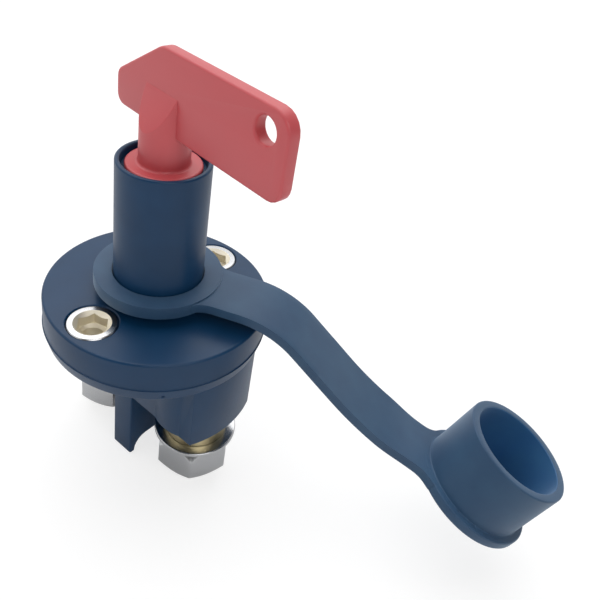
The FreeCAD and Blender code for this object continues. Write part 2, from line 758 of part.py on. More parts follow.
repeat(carrier, "followers", follower, 2)
pocket(carrier, "spring_pocket",
       circles(carrier, "XY", "pocket_circle", dim.spring_pocket_radius, lift=plate_bottom),
       hub_top - dim.hub_roof - plate_bottom, up=True)

bridge = new_body("contact_bridge")
bridge_ends = half_terminals - dim.bridge_end_inset
pad(bridge, "bridge_bar",
    outline(bridge, "XY", "bar_outline", slab_loop(bridge_ends, half_bridge),
            lift=bridge_bottom),
    dim.bridge_thickness)
pad(bridge, "bridge_rounds",
    circles(bridge, "XY", "end_circles", half_bridge, ((bridge_ends, 0), (-bridge_ends, 0)),
            lift=bridge_bottom),
    dim.bridge_thickness)

coil("pressure_spring", dim.pressure_radius, dim.pressure_wire,
     bridge_top + dim.seat_clearance, hub_top - dim.hub_roof - dim.seat_clearance, 4)
coil("return_spring", dim.return_radius, dim.return_wire,
     floor_top + dim.seat_clearance, bridge_bottom - dim.seat_clearance, 3.5)

# ---------------------------------------------------------------- terminals

bush_bottom = body_bottom - dim.bush_length
washer_low = bush_bottom - dim.washer_thickness
nut_bottom = washer_low - dim.nut_height
stud_end = nut_bottom - dim.stud_proud
bore = dim.stud_radius + dim.seat_clearance
half_flats = dim.nut_flats / 2

for side, x, nut_turn in (("front", half_terminals, dim.nut_front_turn),
                          ("rear", -half_terminals, dim.nut_rear_turn)):
    tip = new_body("contact_tip_" + side)
    turn(tip, "tip_turned", [
        (0, tip_bottom),
        (dim.tip_radius - dim.edge_break, tip_bottom),
        (dim.tip_radius, tip_bottom + dim.edge_break),
        (dim.tip_radius, bridge_bottom),
        (0, bridge_bottom),
    ])
    place(tip, x=x)

    stud = new_body("contact_stud_" + side)
    turn(stud, "stud_turned", [
        (0, stud_end),
        (dim.stud_radius - dim.stud_tip_chamfer, stud_end),
        (dim.stud_radius, stud_end + dim.stud_tip_chamfer),
        (dim.stud_radius, floor_top),
        (dim.stud_head_radius, floor_top),
        (dim.stud_head_radius, head_top - dim.edge_break),
        (dim.stud_head_radius - dim.edge_break, head_top),
        (0, head_top),
    ])
    place(stud, x=x)

    bush = new_body("terminal_bush_" + side)
    turn(bush, "bush_turned", [
        (bore, bush_bottom),
        (dim.bush_radius, bush_bottom),
        (dim.bush_radius, body_bottom),
        (bore, body_bottom),
    ])
    place(bush, x=x)

    washer = new_body("terminal_washer_" + side)
    turn(washer, "washer_turned", [
        (dim.stud_radius + 0.25, washer_low),
        (dim.washer_radius, washer_low),
        (dim.washer_radius, bush_bottom),
        (dim.stud_radius + 0.25, bush_bottom),
    ])
    dress(washer, "Fillet", "washer_edge", dim.edge_break,
          either(hoop(dim.washer_radius, washer_low), hoop(dim.washer_radius, bush_bottom)))
    place(washer, x=x)

    nut = new_body("terminal_nut_" + side)
    pad(nut, "nut_hex",
        outline(nut, "XY", "nut_outline", hexagon(dim.nut_flats, nut_turn), lift=washer_low),
        dim.nut_height, down=True)
    pocket(nut, "nut_bore", circles(nut, "XY", "nut_circle", bore, lift=washer_low + 1),
           dim.nut_height + 2)
    cone_reach = half_flats * 0.25
    cone_fall = cone_reach * 0.7
    for end, face, way in (("upper", washer_low, -1), ("lower", nut_bottom, 1)):
        turn(nut, end + "_cone", [
            (half_flats * 0.95, face),
            (half_flats * 0.95 + cone_reach, face),
            (half_flats * 0.95 + cone_reach, face + cone_fall * way),
        ], "Groove")
    place(nut, x=x)

# ---------------------------------------------------------------- dust cap, ring and strap

ring_top = dim.ring_lift + dim.ring_thickness
strap_top = ring_top - dim.strap_step
strap_low = strap_top - dim.strap_thickness
half_strap = dim.strap_width / 2

ring = new_body("cap_ring")
turn(ring, "ring_turned", [
    (dim.neck_radius + dim.ring_clearance, dim.ring_lift),
    (dim.ring_radius, dim.ring_lift),
    (dim.ring_radius, ring_top),
    (dim.neck_radius + dim.ring_clearance, ring_top),
])
dress(ring, "Fillet", "ring_edge", dim.ring_edge,
      either(hoop(dim.ring_radius, ring_top),
             hoop(dim.neck_radius + dim.ring_clearance, ring_top)))
pad(ring, "ring_tab",
    outline(ring, "XY", "tab_outline",
            box_loop(dim.neck_radius + dim.ring_clearance + 1, -half_strap,
                     dim.ring_tab, half_strap),
            lift=strap_low),
    dim.strap_thickness)
dress(ring, "Fillet", "tab_flare", dim.strap_flare,
      lambda edge: (isinstance(edge.Curve, Part.Line)
                    and near(edge.BoundBox.XMin, edge.BoundBox.XMax)
                    and edge.BoundBox.XMax < dim.ring_tab.value - 0.1
                    and near(abs(edge.BoundBox.YMin), half_strap)
                    and edge.BoundBox.ZLength > dim.strap_thickness.value / 2))
place(ring, yaw=dim.strap_angle)

drop = dim.strap_drop_angle
slope = dim.cap_tilt
thick = dim.strap_thickness
bend = dim.strap_bend_radius
sweep = dim.strap_sweep_radius
strap_start = dim.ring_tab + dim.flex_gap
bend_end = (dim.strap_run + bend * sine(drop), strap_top - bend + bend * cosine(drop))
fall_end = (bend_end[0] + dim.strap_straight * cosine(drop),
            bend_end[1] - dim.strap_straight * sine(drop))
strap_end = (fall_end[0] + sweep * (sine(drop) - sine(slope)),
             fall_end[1] - sweep * (cosine(slope) - cosine(drop)))


def under(point, angle):
    """The strap's lower face below a point of its upper face, where it slopes by an angle."""
    return (point[0] - thick * sine(angle), point[1] - thick * cosine(angle))


strap = new_body("cap_strap")
strap_band = pad(strap, "strap_band", outline(strap, "XZ", "strap_side", [
    (strap_start, strap_top),
    (dim.strap_run, strap_top, -bend),
    bend_end,
    (fall_end[0], fall_end[1], sweep),
    strap_end,
    (under(strap_end, slope)[0], under(strap_end, slope)[1], -(sweep + thick)),
    under(fall_end, drop),
    (under(bend_end, drop)[0], under(bend_end, drop)[1], bend - thick),
    (dim.strap_run, strap_low),
    (strap_start, strap_low),
]), dim.strap_width, both=True)
place(strap, yaw=dim.strap_angle)

# The cap leans along the strap and a little across it.
base = dim.cap_base_thickness
reach = dim.cap_base_radius + dim.cap_tail
lean = dim.cap_roll
cap_s = (strap_end[0] + (dim.flex_gap + reach) * cosine(slope)
         - base * cosine(lean) * sine(slope))
cap_z = (strap_end[1] - (dim.flex_gap + reach) * sine(slope)
         - base * cosine(lean) * cosine(slope))
cap_w = -base * sine(lean)
bore_r = dim.cap_bore_radius
wall_r = dim.cap_bore_radius + dim.cap_wall

cap = new_body("dust_cap")
turn(cap, "cup", [
    (0, 0),
    (dim.cap_base_radius, 0),
    (dim.cap_base_radius, base),
    (wall_r, base),
    (wall_r, dim.cap_height),
    (bore_r, dim.cap_height),
    (bore_r, dim.cap_floor),
    (0, dim.cap_floor),
])
dress(cap, "Fillet", "cup_foot", dim.cap_lip_round * 2, hoop(wall_r, base))
dress(cap, "Fillet", "cup_lip", dim.cap_lip_round,
      either(hoop(wall_r, dim.cap_height), hoop(bore_r, dim.cap_height)))
pad(cap, "cap_tab",
    outline(cap, "XY", "cap_tab_outline",
            box_loop(-reach, -half_strap, -dim.cap_base_radius + 4, half_strap),
            lift=base - thick),
    thick)
place(cap, x=cap_s * cosine(dim.strap_angle) - cap_w * sine(dim.strap_angle),
      y=cap_s * sine(dim.strap_angle) + cap_w * cosine(dim.strap_angle),
      z=cap_z, yaw=dim.strap_angle, pitch=slope, roll=-lean)

# ---------------------------------------------------------------- check and write

doc.recompute()

NODES = [
    "upper_housing", "lower_housing", "housing_gasket",
    "mounting_insert_front", "mounting_insert_rear",
    "key", "rotor", "rotor_seal", "thrust_washer",
    "bridge_carrier", "pressure_spring", "contact_bridge",
    "contact_tip_front", "contact_tip_rear", "return_spring",
    "contact_stud_front", "contact_stud_rear",
    "terminal_bush_front", "terminal_bush_rear",
    "terminal_washer_front", "terminal_washer_rear",
    "terminal_nut_front", "terminal_nut_rear",
    "cap_ring", "cap_strap", "dust_cap",
]

for obj in doc.Objects:
    if {"Invalid", "Error"} & set(obj.State):
        raise RuntimeError(f"{obj.Label}: {obj.State}")

nodes = [doc.getObjectsByLabel(label)[0] for label in NODES]
for node in nodes:
    if node.Shape.isNull() or not node.Shape.isValid():
        raise RuntimeError(f"{node.Label}: shape is not valid")
    if len(node.Shape.Solids) != 1:
        raise RuntimeError(f"{node.Label}: {len(node.Shape.Solids)} solids")

os.makedirs("parts", exist_ok=True)
for node in nodes:
    node.Shape.exportStep(f"parts/{node.Label}.step")
    print(f"{node.Label}: {node.Shape.Volume:.1f} mm3")
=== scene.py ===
# %% [markdown]
# # A battery switch for a panel
# The object is a rotary isolator with a removable red key. The imported CAD model is loaded first and acts as
# a fixed frame: every piece made below takes its place from it, and most are parented to one of its bodies.

# %% Load the frame
import json
import math

import bpy
from mathutils import Matrix, Vector


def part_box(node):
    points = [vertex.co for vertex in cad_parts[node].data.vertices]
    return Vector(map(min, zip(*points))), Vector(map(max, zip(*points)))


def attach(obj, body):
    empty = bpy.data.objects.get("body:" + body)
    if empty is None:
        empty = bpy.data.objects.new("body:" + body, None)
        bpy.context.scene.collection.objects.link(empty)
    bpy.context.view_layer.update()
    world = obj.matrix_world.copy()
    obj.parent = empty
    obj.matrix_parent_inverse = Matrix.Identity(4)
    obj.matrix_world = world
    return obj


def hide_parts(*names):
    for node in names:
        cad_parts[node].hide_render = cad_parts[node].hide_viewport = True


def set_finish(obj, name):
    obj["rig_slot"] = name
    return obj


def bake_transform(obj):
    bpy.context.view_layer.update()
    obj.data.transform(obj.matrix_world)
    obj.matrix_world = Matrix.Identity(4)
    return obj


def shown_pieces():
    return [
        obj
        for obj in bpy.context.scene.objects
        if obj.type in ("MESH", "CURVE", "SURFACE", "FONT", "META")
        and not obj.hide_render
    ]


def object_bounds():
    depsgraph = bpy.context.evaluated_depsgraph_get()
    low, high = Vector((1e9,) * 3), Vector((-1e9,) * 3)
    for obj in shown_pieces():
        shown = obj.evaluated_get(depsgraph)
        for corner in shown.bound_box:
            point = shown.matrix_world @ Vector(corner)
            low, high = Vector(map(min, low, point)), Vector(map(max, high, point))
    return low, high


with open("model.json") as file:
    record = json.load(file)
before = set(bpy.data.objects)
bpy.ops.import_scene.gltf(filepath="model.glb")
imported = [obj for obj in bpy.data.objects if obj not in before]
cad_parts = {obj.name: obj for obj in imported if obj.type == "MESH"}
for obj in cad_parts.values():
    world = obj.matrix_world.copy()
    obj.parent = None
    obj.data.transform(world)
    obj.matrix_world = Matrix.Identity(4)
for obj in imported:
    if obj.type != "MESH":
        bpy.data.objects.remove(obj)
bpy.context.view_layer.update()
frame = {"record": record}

MM = 0.001

# %% [markdown]
# ## Sizes
# A node's box says where a piece is and how big it is, so most sizes are read from the frame. What a box
# can't tell, such as the thickness of a wall, is a named value in millimetres, as a maker would write it on
# a drawing.

# %% Sizes from the frame
def box_mm(node):
    """Lowest and highest corner of a CAD node, in millimetres."""
    low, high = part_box(node)
    return low / MM, high / MM


upper_low, upper_high = box_mm("upper_housing")
lower_low, _ = box_mm("lower_housing")
nut_low, nut_high = box_mm("terminal_nut_front")
_, washer_high = box_mm("terminal_washer_front")
bush_low, bush_high = box_mm("terminal_bush_front")
insert_low, insert_high = box_mm("mounting_insert_rear")
key_low, key_high = box_mm("key")
ring_low, ring_high = box_mm("cap_ring")
stud_low, stud_high = box_mm("contact_stud_front")

flange_radius = upper_high.x
parting = upper_low.z
neck_height = upper_high.z

# The contact body ends a little higher than its CAD node, and the terminals hang a little lower.
BODY_TRIM = 0.8
STACK_DROP = 0.45
NUT_EXTRA = 1.2
body_bottom = bush_high.z + BODY_TRIM
bush_foot = bush_low.z - STACK_DROP
nut_top = nut_high.z - STACK_DROP
nut_foot = nut_low.z - STACK_DROP - NUT_EXTRA
terminal_x = (bush_low.x + bush_high.x) / 2
insert_y = (insert_low.y + insert_high.y) / 2
print(f"flange {2 * flange_radius:.1f} mm, neck {neck_height:.1f} mm,",
      f"terminals {2 * terminal_x:.1f} mm apart")

# %% [markdown]
# ## Working by hand, in code
# An operator acts on whatever is selected, so each step starts with nothing selected. A few small helpers
# cover most of the work: they start a piece from a primitive, apply its modifiers, cut it with another
# solid, round its edges, and smooth its faces but keep the sharp corners sharp. A cut can leave crumbs,
# which are corners a few thousandths of a millimetre apart, and these are merged each time so that the mesh
# stays closed.

# %% Start, apply, smooth
CRUMB = 0.003
WELD = 1e-6


def select_only(*objects):
    bpy.ops.object.select_all(action="DESELECT")
    for obj in objects:
        obj.select_set(True)
    bpy.context.view_layer.objects.active = objects[0]


def start(name, add, **settings):
    """Adds a primitive with nothing else selected, and names it."""
    bpy.ops.object.select_all(action="DESELECT")
    add(**settings)
    obj = bpy.context.active_object
    obj.name = name
    obj.data.name = name
    return obj


def settle(obj):
    """Moves an object's place, turn and scale into its mesh."""
    select_only(obj)
    bpy.ops.object.transform_apply(location=True, rotation=True, scale=True)
    return obj


def modify(obj, kind, **settings):
    """Adds a modifier, sets it and applies it."""
    select_only(obj)
    modifier = obj.modifiers.new(kind.title(), kind)
    for name, value in settings.items():
        setattr(modifier, name, value)
    bpy.ops.object.modifier_apply(modifier=modifier.name)
    return obj


def clear_crumbs(obj):
    """Merges corners that lie on one another, so that the next cut finds a clean solid."""
    select_only(obj)
    bpy.ops.object.mode_set(mode="EDIT")
    bpy.ops.mesh.select_all(action="SELECT")
    bpy.ops.mesh.remove_doubles(threshold=CRUMB * MM)
    bpy.ops.mesh.dissolve_degenerate(threshold=CRUMB * MM)
    bpy.ops.object.mode_set(mode="OBJECT")
    return obj


def cut(obj, tool, operation="DIFFERENCE"):
    """Cuts one solid with another, or joins them, and throws the tool away."""
    modify(obj, "BOOLEAN", object=tool, operation=operation, solver="EXACT")
    bpy.data.objects.remove(tool)
    return clear_crumbs(obj)


def soften(obj, width, segments=3, angle=32):
    """Rounds the edges that are sharper than an angle."""
    modify(obj, "BEVEL", width=width * MM, segments=segments, limit_method="ANGLE",
           angle_limit=math.radians(angle), harden_normals=False)
    return clear_crumbs(obj)


def smooth(obj, angle=34):
    select_only(obj)
    bpy.ops.object.shade_smooth_by_angle(angle=math.radians(angle))
    return obj


# %% [markdown]
# ## Turned pieces
# The neck, washers, bushes and the cap's cup are all round, so each is a half section spun round the Z
# axis. The section is drawn corner by corner. A corner can carry a radius, and is then replaced by a short
# arc: that gives every edge its own rounding, which one bevel for the whole piece couldn't.

# %% Turn a piece
def with_arcs(corners, closed, steps=5):
    """Replaces each corner (x, y, radius) by an arc; a corner (x, y) stays sharp."""
    points = []
    count = len(corners)
    for i, corner in enumerate(corners):
        here = Vector(corner[:2])
        if len(corner) < 3 or (not closed and i in (0, count - 1)):
            points.append(here)
            continue
        back = (Vector(corners[i - 1][:2]) - here).normalized()
        ahead = (Vector(corners[(i + 1) % count][:2]) - here).normalized()
        half = back.angle(ahead) / 2
        reach = corner[2] / math.tan(half)
        centre = here + (back + ahead).normalized() * (corner[2] / math.sin(half))
        first = here + back * reach - centre
        last = here + ahead * reach - centre
        sweep = first.angle_signed(last)
        for step in range(steps + 1):
            turn = -sweep * step / steps
            points.append(centre + Vector((
                first.x * math.cos(turn) - first.y * math.sin(turn),
                first.x * math.sin(turn) + first.y * math.cos(turn))))
    return points


def draw(name, points, plane="XZ"):
    """A chain of edges through points, in millimetres, extruded corner by corner from one vertex."""
    obj = start(name, bpy.ops.mesh.primitive_plane_add, size=MM)
    bpy.ops.object.mode_set(mode="EDIT")
    bpy.ops.mesh.merge(type="CENTER")
    spots = [Vector((p.x, 0, p.y)) if plane == "XZ" else Vector((p.x, p.y, 0)) for p in points]
    bpy.ops.transform.translate(value=spots[0] * MM)
    for before, after in zip(spots, spots[1:]):
        bpy.ops.mesh.extrude_vertices_move(
            TRANSFORM_OT_translate={"value": (after - before) * MM})
    return obj


def turned(name, corners, closed=True, steps=96, at=(0, 0)):
    """A piece as a lathe makes it, from its corners (radius, height) or (radius, height, rounding)."""
    points = with_arcs(corners, closed)
    if closed:
        points.append(points[0])
    obj = draw(name, points)
    bpy.ops.mesh.select_all(action="SELECT")
    bpy.ops.mesh.spin(steps=steps, angle=math.tau, center=(0, 0, 0), axis=(0, 0, 1))
    bpy.ops.mesh.select_all(action="SELECT")
    bpy.ops.mesh.remove_doubles(threshold=WELD)
    bpy.ops.mesh.normals_make_consistent(inside=False)
    bpy.ops.object.mode_set(mode="OBJECT")
    obj.location = (at[0] * MM, at[1] * MM, 0)
    return settle(obj)


def slab(name, corners, depth, plane="XY"):
    """A plate: a closed outline filled and extruded by a depth along its normal, both ways."""
    points = with_arcs(corners, closed=True)
    obj = draw(name, points + [points[0]], plane)
    bpy.ops.mesh.select_all(action="SELECT")
    bpy.ops.mesh.remove_doubles(threshold=WELD)
    bpy.ops.mesh.select_all(action="SELECT")
    bpy.ops.mesh.edge_face_add()
    along = Vector((0, 0, depth)) if plane == "XY" else Vector((0, depth, 0))
    bpy.ops.transform.translate(value=-along * MM / 2)
    bpy.ops.mesh.extrude_region_move(TRANSFORM_OT_translate={"value": along * MM})
    bpy.ops.mesh.select_all(action="SELECT")
    bpy.ops.mesh.normals_make_consistent(inside=False)
    bpy.ops.object.mode_set(mode="OBJECT")
    return settle(obj)


def rod(name, radius, low, high, at=(0, 0), sides=64):
    """A plain cylinder between two heights."""
    obj = start(name, bpy.ops.mesh.primitive_cylinder_add, vertices=sides, radius=radius * MM,
                depth=(high - low) * MM, location=(at[0] * MM, at[1] * MM, (low + high) / 2 * MM))
    return settle(obj)


def block(name, low, high):
    """A plain box between two corners."""
    low, high = Vector(low), Vector(high)
    obj = start(name, bpy.ops.mesh.primitive_cube_add, size=1, location=(low + high) / 2 * MM,
                scale=(high - low) * MM)
    return settle(obj)


def close_holes(obj):
    """Puts a flat face over every open end."""
    select_only(obj)
    bpy.ops.object.mode_set(mode="EDIT")
    bpy.ops.mesh.select_all(action="SELECT")
    bpy.ops.mesh.remove_doubles(threshold=WELD)
    bpy.ops.mesh.select_all(action="DESELECT")
    bpy.ops.mesh.select_mode(type="EDGE")
    bpy.ops.mesh.select_non_manifold(extend=False)
    bpy.ops.mesh.fill_holes(sides=0)
    bpy.ops.mesh.select_mode(type="VERT")
    bpy.ops.mesh.select_all(action="SELECT")
    bpy.ops.mesh.normals_make_consistent(inside=False)
    bpy.ops.object.mode_set(mode="OBJECT")
    return obj


def wound(name, points, pitch, turns, steps):
    """A closed section wound up a helix, as a thread or a spring is."""
    section = draw(name, points + [points[0]])
    bpy.ops.mesh.select_all(action="SELECT")
    bpy.ops.mesh.remove_doubles(threshold=WELD)
    bpy.ops.object.mode_set(mode="OBJECT")
    settle(section)
    modify(section, "SCREW", axis="Z", screw_offset=pitch * MM, iterations=turns, steps=steps,
           render_steps=steps)
    return close_holes(section)


# %% [markdown]
# ## Upper housing
# One blue-black moulding: a thick round flange with a tall neck. Its rims are gently rounded, because a
# sharp edge would chip and wouldn't fill in the mould. It is turned from its section, then the two pockets
# for the inserts are cut, and the pockets' mouths get a small chamfer.

# %% Upper housing
FLASH = 0.2
NECK_RADIUS = 10.1
NECK_BORE = 9.0
RECESS_RADIUS = NECK_BORE + 3
RECESS_TOP = -2.0
RIM_ROUND = 0.5
FLANGE_ROUND = 0.6
FOOT_ROUND = 0.9
POCKET_GAP = 0.15
POCKET_CHAMFER = 0.2
POCKET_DEPTH = 4.0
SHANK_RADIUS = 4.2
SHANK_HOLE = SHANK_RADIUS + POCKET_GAP
INSERT_RISE = 0.3
INSERT_GROWTH = 0.3
insert_radius = (insert_high.x - insert_low.x) / 2 + INSERT_GROWTH
insert_face = insert_high.z + INSERT_RISE

upper = turned("upper_housing_moulding", [
    (NECK_BORE, RECESS_TOP),
    (NECK_BORE, neck_height, RIM_ROUND),
    (NECK_RADIUS, neck_height, RIM_ROUND),
    (NECK_RADIUS, 0, FOOT_ROUND),
    (flange_radius - FLASH, 0, FLANGE_ROUND),
    (flange_radius - FLASH, parting),
    (RECESS_RADIUS, parting),
    (RECESS_RADIUS, RECESS_TOP),
], steps=128)
for side in (1, -1):
    pocket_radius = insert_radius + POCKET_GAP
    cut(upper, turned("pocket_tool", [
        (0, parting - 1),
        (SHANK_HOLE, parting - 1),
        (SHANK_HOLE, -POCKET_DEPTH),
        (pocket_radius, -POCKET_DEPTH),
        (pocket_radius, -POCKET_CHAMFER),
        (pocket_radius + POCKET_CHAMFER * 2, POCKET_CHAMFER),
        (0, POCKET_CHAMFER),
    ], closed=False, steps=64, at=(0, side * insert_y)))
smooth(upper)
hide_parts("upper_housing")
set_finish(upper, "black_plastic")
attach(upper, "housing")
print("upper housing faces:", len(upper.data.polygons))

# %% [markdown]
# ## Lower housing
# The half that holds the contacts: a shallow tapered band that closes the flange, a flat-sided body with a
# round swelling at each terminal, and a fin that keeps two cable lugs apart. A box and two cylinders are
# joined, their ends are trimmed by a larger cylinder, and the fin gets its arch cut out from below.

# %% Lower housing
BAND_DEPTH = 3.25
BAND_TAPER = 0.85
FLASH_HEIGHT = 0.12
DIMPLE_TURN = -39.0
DIMPLE_RADIUS = 0.4
DIMPLE_RISE = 1.3
DIMPLE_SHARE = 0.6
BODY_ROUND = 0.45
BODY_HALF_WIDTH = 9.8
BODY_END_RADIUS = 24.9
BOSS_RADIUS = 10.6
FIN_HALF_THICKNESS = 3.1
FIN_INSET = 0.03
FIN_ROUND = 0.35
ARCH_HALF_WIDTH = 8.15
ARCH_HEIGHT = 3.9
ARCH_ROUND = 3.5
FEET_ROUND = 0.6
band_bottom = parting - BAND_DEPTH
fin_bottom = lower_low.z

body = block("contact_body", (-flange_radius, -BODY_HALF_WIDTH, body_bottom),
             (flange_radius, BODY_HALF_WIDTH, band_bottom + 1))
for side in (1, -1):
    cut(body, rod("boss", BOSS_RADIUS, body_bottom, band_bottom + 1, (side * terminal_x, 0), 100),
        "UNION")
cut(body, rod("round_end_tool", BODY_END_RADIUS, body_bottom - 5, band_bottom + 5, sides=160),
    "INTERSECT")
soften(body, BODY_ROUND, angle=60)

fin_half_width = BODY_HALF_WIDTH - FIN_INSET
fin = slab("divider", [
    (-fin_half_width, fin_bottom, FEET_ROUND),
    (-ARCH_HALF_WIDTH, fin_bottom),
    (-ARCH_HALF_WIDTH, fin_bottom + ARCH_HEIGHT, ARCH_ROUND),
    (ARCH_HALF_WIDTH, fin_bottom + ARCH_HEIGHT, ARCH_ROUND),
    (ARCH_HALF_WIDTH, fin_bottom),
    (fin_half_width, fin_bottom, FEET_ROUND),
    (fin_half_width, body_bottom + 2),
    (-fin_half_width, body_bottom + 2),
], 2 * FIN_HALF_THICKNESS, plane="XZ")
fin.data.transform(Matrix.Rotation(math.pi / 2, 4, "Z"))
soften(fin, FIN_ROUND)

lower = turned("lower_housing_moulding", [
    (0, band_bottom),
    (flange_radius - BAND_TAPER, band_bottom, 0.6),
    (flange_radius, parting - FLASH_HEIGHT),
    (flange_radius - FLASH, parting),
    (0, parting),
], closed=False, steps=128)
cut(lower, body, "UNION")
cut(lower, fin, "UNION")
dimple = start("dimple_tool", bpy.ops.mesh.primitive_uv_sphere_add, segments=16, ring_count=10,
               radius=DIMPLE_RADIUS * MM)
dimple_reach = flange_radius - BAND_TAPER * DIMPLE_SHARE
dimple.location = Vector((dimple_reach * math.cos(math.radians(DIMPLE_TURN)),
                          dimple_reach * math.sin(math.radians(DIMPLE_TURN)),
                          band_bottom + DIMPLE_RISE)) * MM
cut(lower, settle(dimple))
print("lower housing from outside, faces:", len(lower.data.polygons))

# %% [markdown]
# Inside, the body is hollow: a long chamber with round ends holds the contacts, a low boss on its floor
# centres the return spring, and there are holes for the studs and the inserts. A shallow groove near the
# rim holds the gasket. These are plain cuts from above, made after the outside is finished.

# %% Contact chamber
CHAMBER_HALF_WIDTH = 7.4
STUD_HEAD = 3.5
STUD_HOLE = 5.1
SPRING_BOSS_RADIUS = 4.2
SPRING_BOSS_HEIGHT = 1.5
GASKET_WIDTH = 1.0
GASKET_ROOM = 0.02
gasket_low, gasket_high = box_mm("housing_gasket")
chamber_floor = stud_high.z - STUD_HEAD

chamber = block("chamber_tool", (-terminal_x, -CHAMBER_HALF_WIDTH, chamber_floor),
                (terminal_x, CHAMBER_HALF_WIDTH, parting + 1))
for side in (1, -1):
    cut(chamber, rod("chamber_end", CHAMBER_HALF_WIDTH, chamber_floor, parting + 1,
                     (side * terminal_x, 0)), "UNION")
cut(chamber, rod("spring_boss", SPRING_BOSS_RADIUS, chamber_floor - 1,
                 chamber_floor + SPRING_BOSS_HEIGHT))
cut(lower, chamber)
for side in (1, -1):
    cut(lower, rod("stud_hole_tool", STUD_HOLE, body_bottom - 1, chamber_floor + 1,
                   (side * terminal_x, 0)))
    cut(lower, rod("insert_hole_tool", SHANK_HOLE, band_bottom - 1, parting + 1,
                   (0, side * insert_y)))
cut(lower, turned("groove_tool", [
    (gasket_high.x - GASKET_WIDTH - GASKET_ROOM, gasket_low.z - GASKET_ROOM),
    (gasket_high.x + GASKET_ROOM, gasket_low.z - GASKET_ROOM),
    (gasket_high.x + GASKET_ROOM, parting + 1),
    (gasket_high.x - GASKET_WIDTH - GASKET_ROOM, parting + 1),
]))
smooth(lower)
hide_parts("lower_housing")
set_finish(lower, "black_plastic")
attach(lower, "housing")
print("lower housing faces:", len(lower.data.polygons))

# %% [markdown]
# ## Inserts
# Two bright nickel inserts take the panel's screws. Each has a bevelled rim and a hex socket, so it is
# turned and then cut by a six-sided prism, with a cone at the mouth and one at the foot. It sits a little
# under the flange's face in its pocket, which leaves the thin dark line round it.

# %% Inserts
SOCKET_FLATS = 6.2
SOCKET_DEPTH = 2.9
SOCKET_TURN = 15
INSERT_BORE = 2.5
COUNTERSINK = 0.7
MOUTH_RADIUS = 4.1
MOUTH_DEPTH = 0.8
INSERT_BEVEL = 0.25
LIP_RADIUS = 4.9

inserts = []
for side, node in ((1, "mounting_insert_rear"), (-1, "mounting_insert_front")):
    insert = turned(node + "_turned", [
        (INSERT_BORE, insert_low.z, 0.2),
        (LIP_RADIUS, insert_low.z, 0.25),
        (LIP_RADIUS, band_bottom),
        (SHANK_RADIUS, band_bottom),
        (SHANK_RADIUS, -POCKET_DEPTH),
        (insert_radius, -POCKET_DEPTH),
        (insert_radius, insert_face - INSERT_BEVEL, 0.15),
        (insert_radius - INSERT_BEVEL, insert_face, 0.15),
        (INSERT_BORE, insert_face),
    ], steps=72)
    corner = SOCKET_FLATS / 2 / math.cos(math.pi / 6)
    socket = rod("socket_tool", corner, insert_face - SOCKET_DEPTH, insert_face + 1, sides=6)
    socket.data.transform(Matrix.Rotation(math.radians(SOCKET_TURN + 30), 4, "Z"))
    cut(insert, socket)
    cut(insert, turned("mouth_tool", [
        (0, insert_face - MOUTH_DEPTH),
        (SOCKET_FLATS / 2, insert_face - MOUTH_DEPTH),
        (MOUTH_RADIUS, insert_face),
        (MOUTH_RADIUS, insert_face + 1),
        (0, insert_face + 1),
    ], closed=False, steps=72))
    cut(insert, turned("countersink_tool", [
        (0, insert_face - SOCKET_DEPTH - COUNTERSINK),
        (INSERT_BORE, insert_face - SOCKET_DEPTH - COUNTERSINK),
        (SOCKET_FLATS / 2, insert_face - SOCKET_DEPTH),
        (SOCKET_FLATS / 2, insert_face - MOUTH_DEPTH),
        (0, insert_face - MOUTH_DEPTH),
    ], closed=False, steps=72))
    smooth(insert)
    insert.location.y = side * insert_y * MM
    settle(insert)
    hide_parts(node)
    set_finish(insert, "bright_nickel")
    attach(insert, "housing")
    inserts.append(insert)
    print(node, "faces:", len(insert.data.polygons))

# %% [markdown]
# ## Key
# The red key is one moulding: a round shaft with a collar that closes the neck, and a flat handle set
# across it. The handle is drawn as an outline and given its thickness. The shaft runs up both faces of the
# handle and is cut away on a slope, which leaves a long flat facet on each side; two bisecting planes make
# them. The key's box in the frame includes its turn, so its heights come from there and its turn is a named
# value.

# %% Key
KEY_TURN = -8.0
BLADE_THICKNESS = 2.9
BLADE_LONG = 34.7
BLADE_SHORT = 16.0
BLADE_HEIGHT = 16.9
BLADE_SHORT_HEIGHT = 7.2
BLADE_PEAK = -0.8
BLADE_EDGE = 0.55
SHAFT_RADIUS = 5.4
COLLAR_RADIUS = 8.1
COLLAR_DROP = 0.7
COLLAR_THICKNESS = 1.3
WEDGE_TOP = 8.2
WEDGE_HEIGHT = 7.9
HOLE_RADIUS = 2.6
HOLE_INSET = 5.7
HOLE_RISE = 12.1
LUG_REACH = 7.8
LUG_WIDTH = 3.0
LUG_HEIGHT = 4.0
LUG_RISE = 0.5
WEDGE_ROOM = 0.02
blade_top = key_high.z
blade_bottom = blade_top - BLADE_HEIGHT
collar_top = neck_height - COLLAR_DROP

key = slab("key_moulding", [
    (-BLADE_SHORT, blade_bottom, 2.4),
    (BLADE_LONG, blade_bottom, 3.2),
    (BLADE_LONG, blade_top, 4.2),
    (BLADE_PEAK, blade_top, 4.8),
    (-BLADE_SHORT, blade_bottom + BLADE_SHORT_HEIGHT, 2.6),
], BLADE_THICKNESS, plane="XZ")
hole_tool = rod("hole_tool", HOLE_RADIUS, -5, 5, sides=64)
hole_tool.data.transform(Matrix.Translation((
    (BLADE_LONG - HOLE_INSET) * MM, 0, (blade_bottom + HOLE_RISE) * MM))
    @ Matrix.Rotation(math.pi / 2, 4, "X"))
cut(key, hole_tool)
soften(key, BLADE_EDGE, segments=4, angle=50)

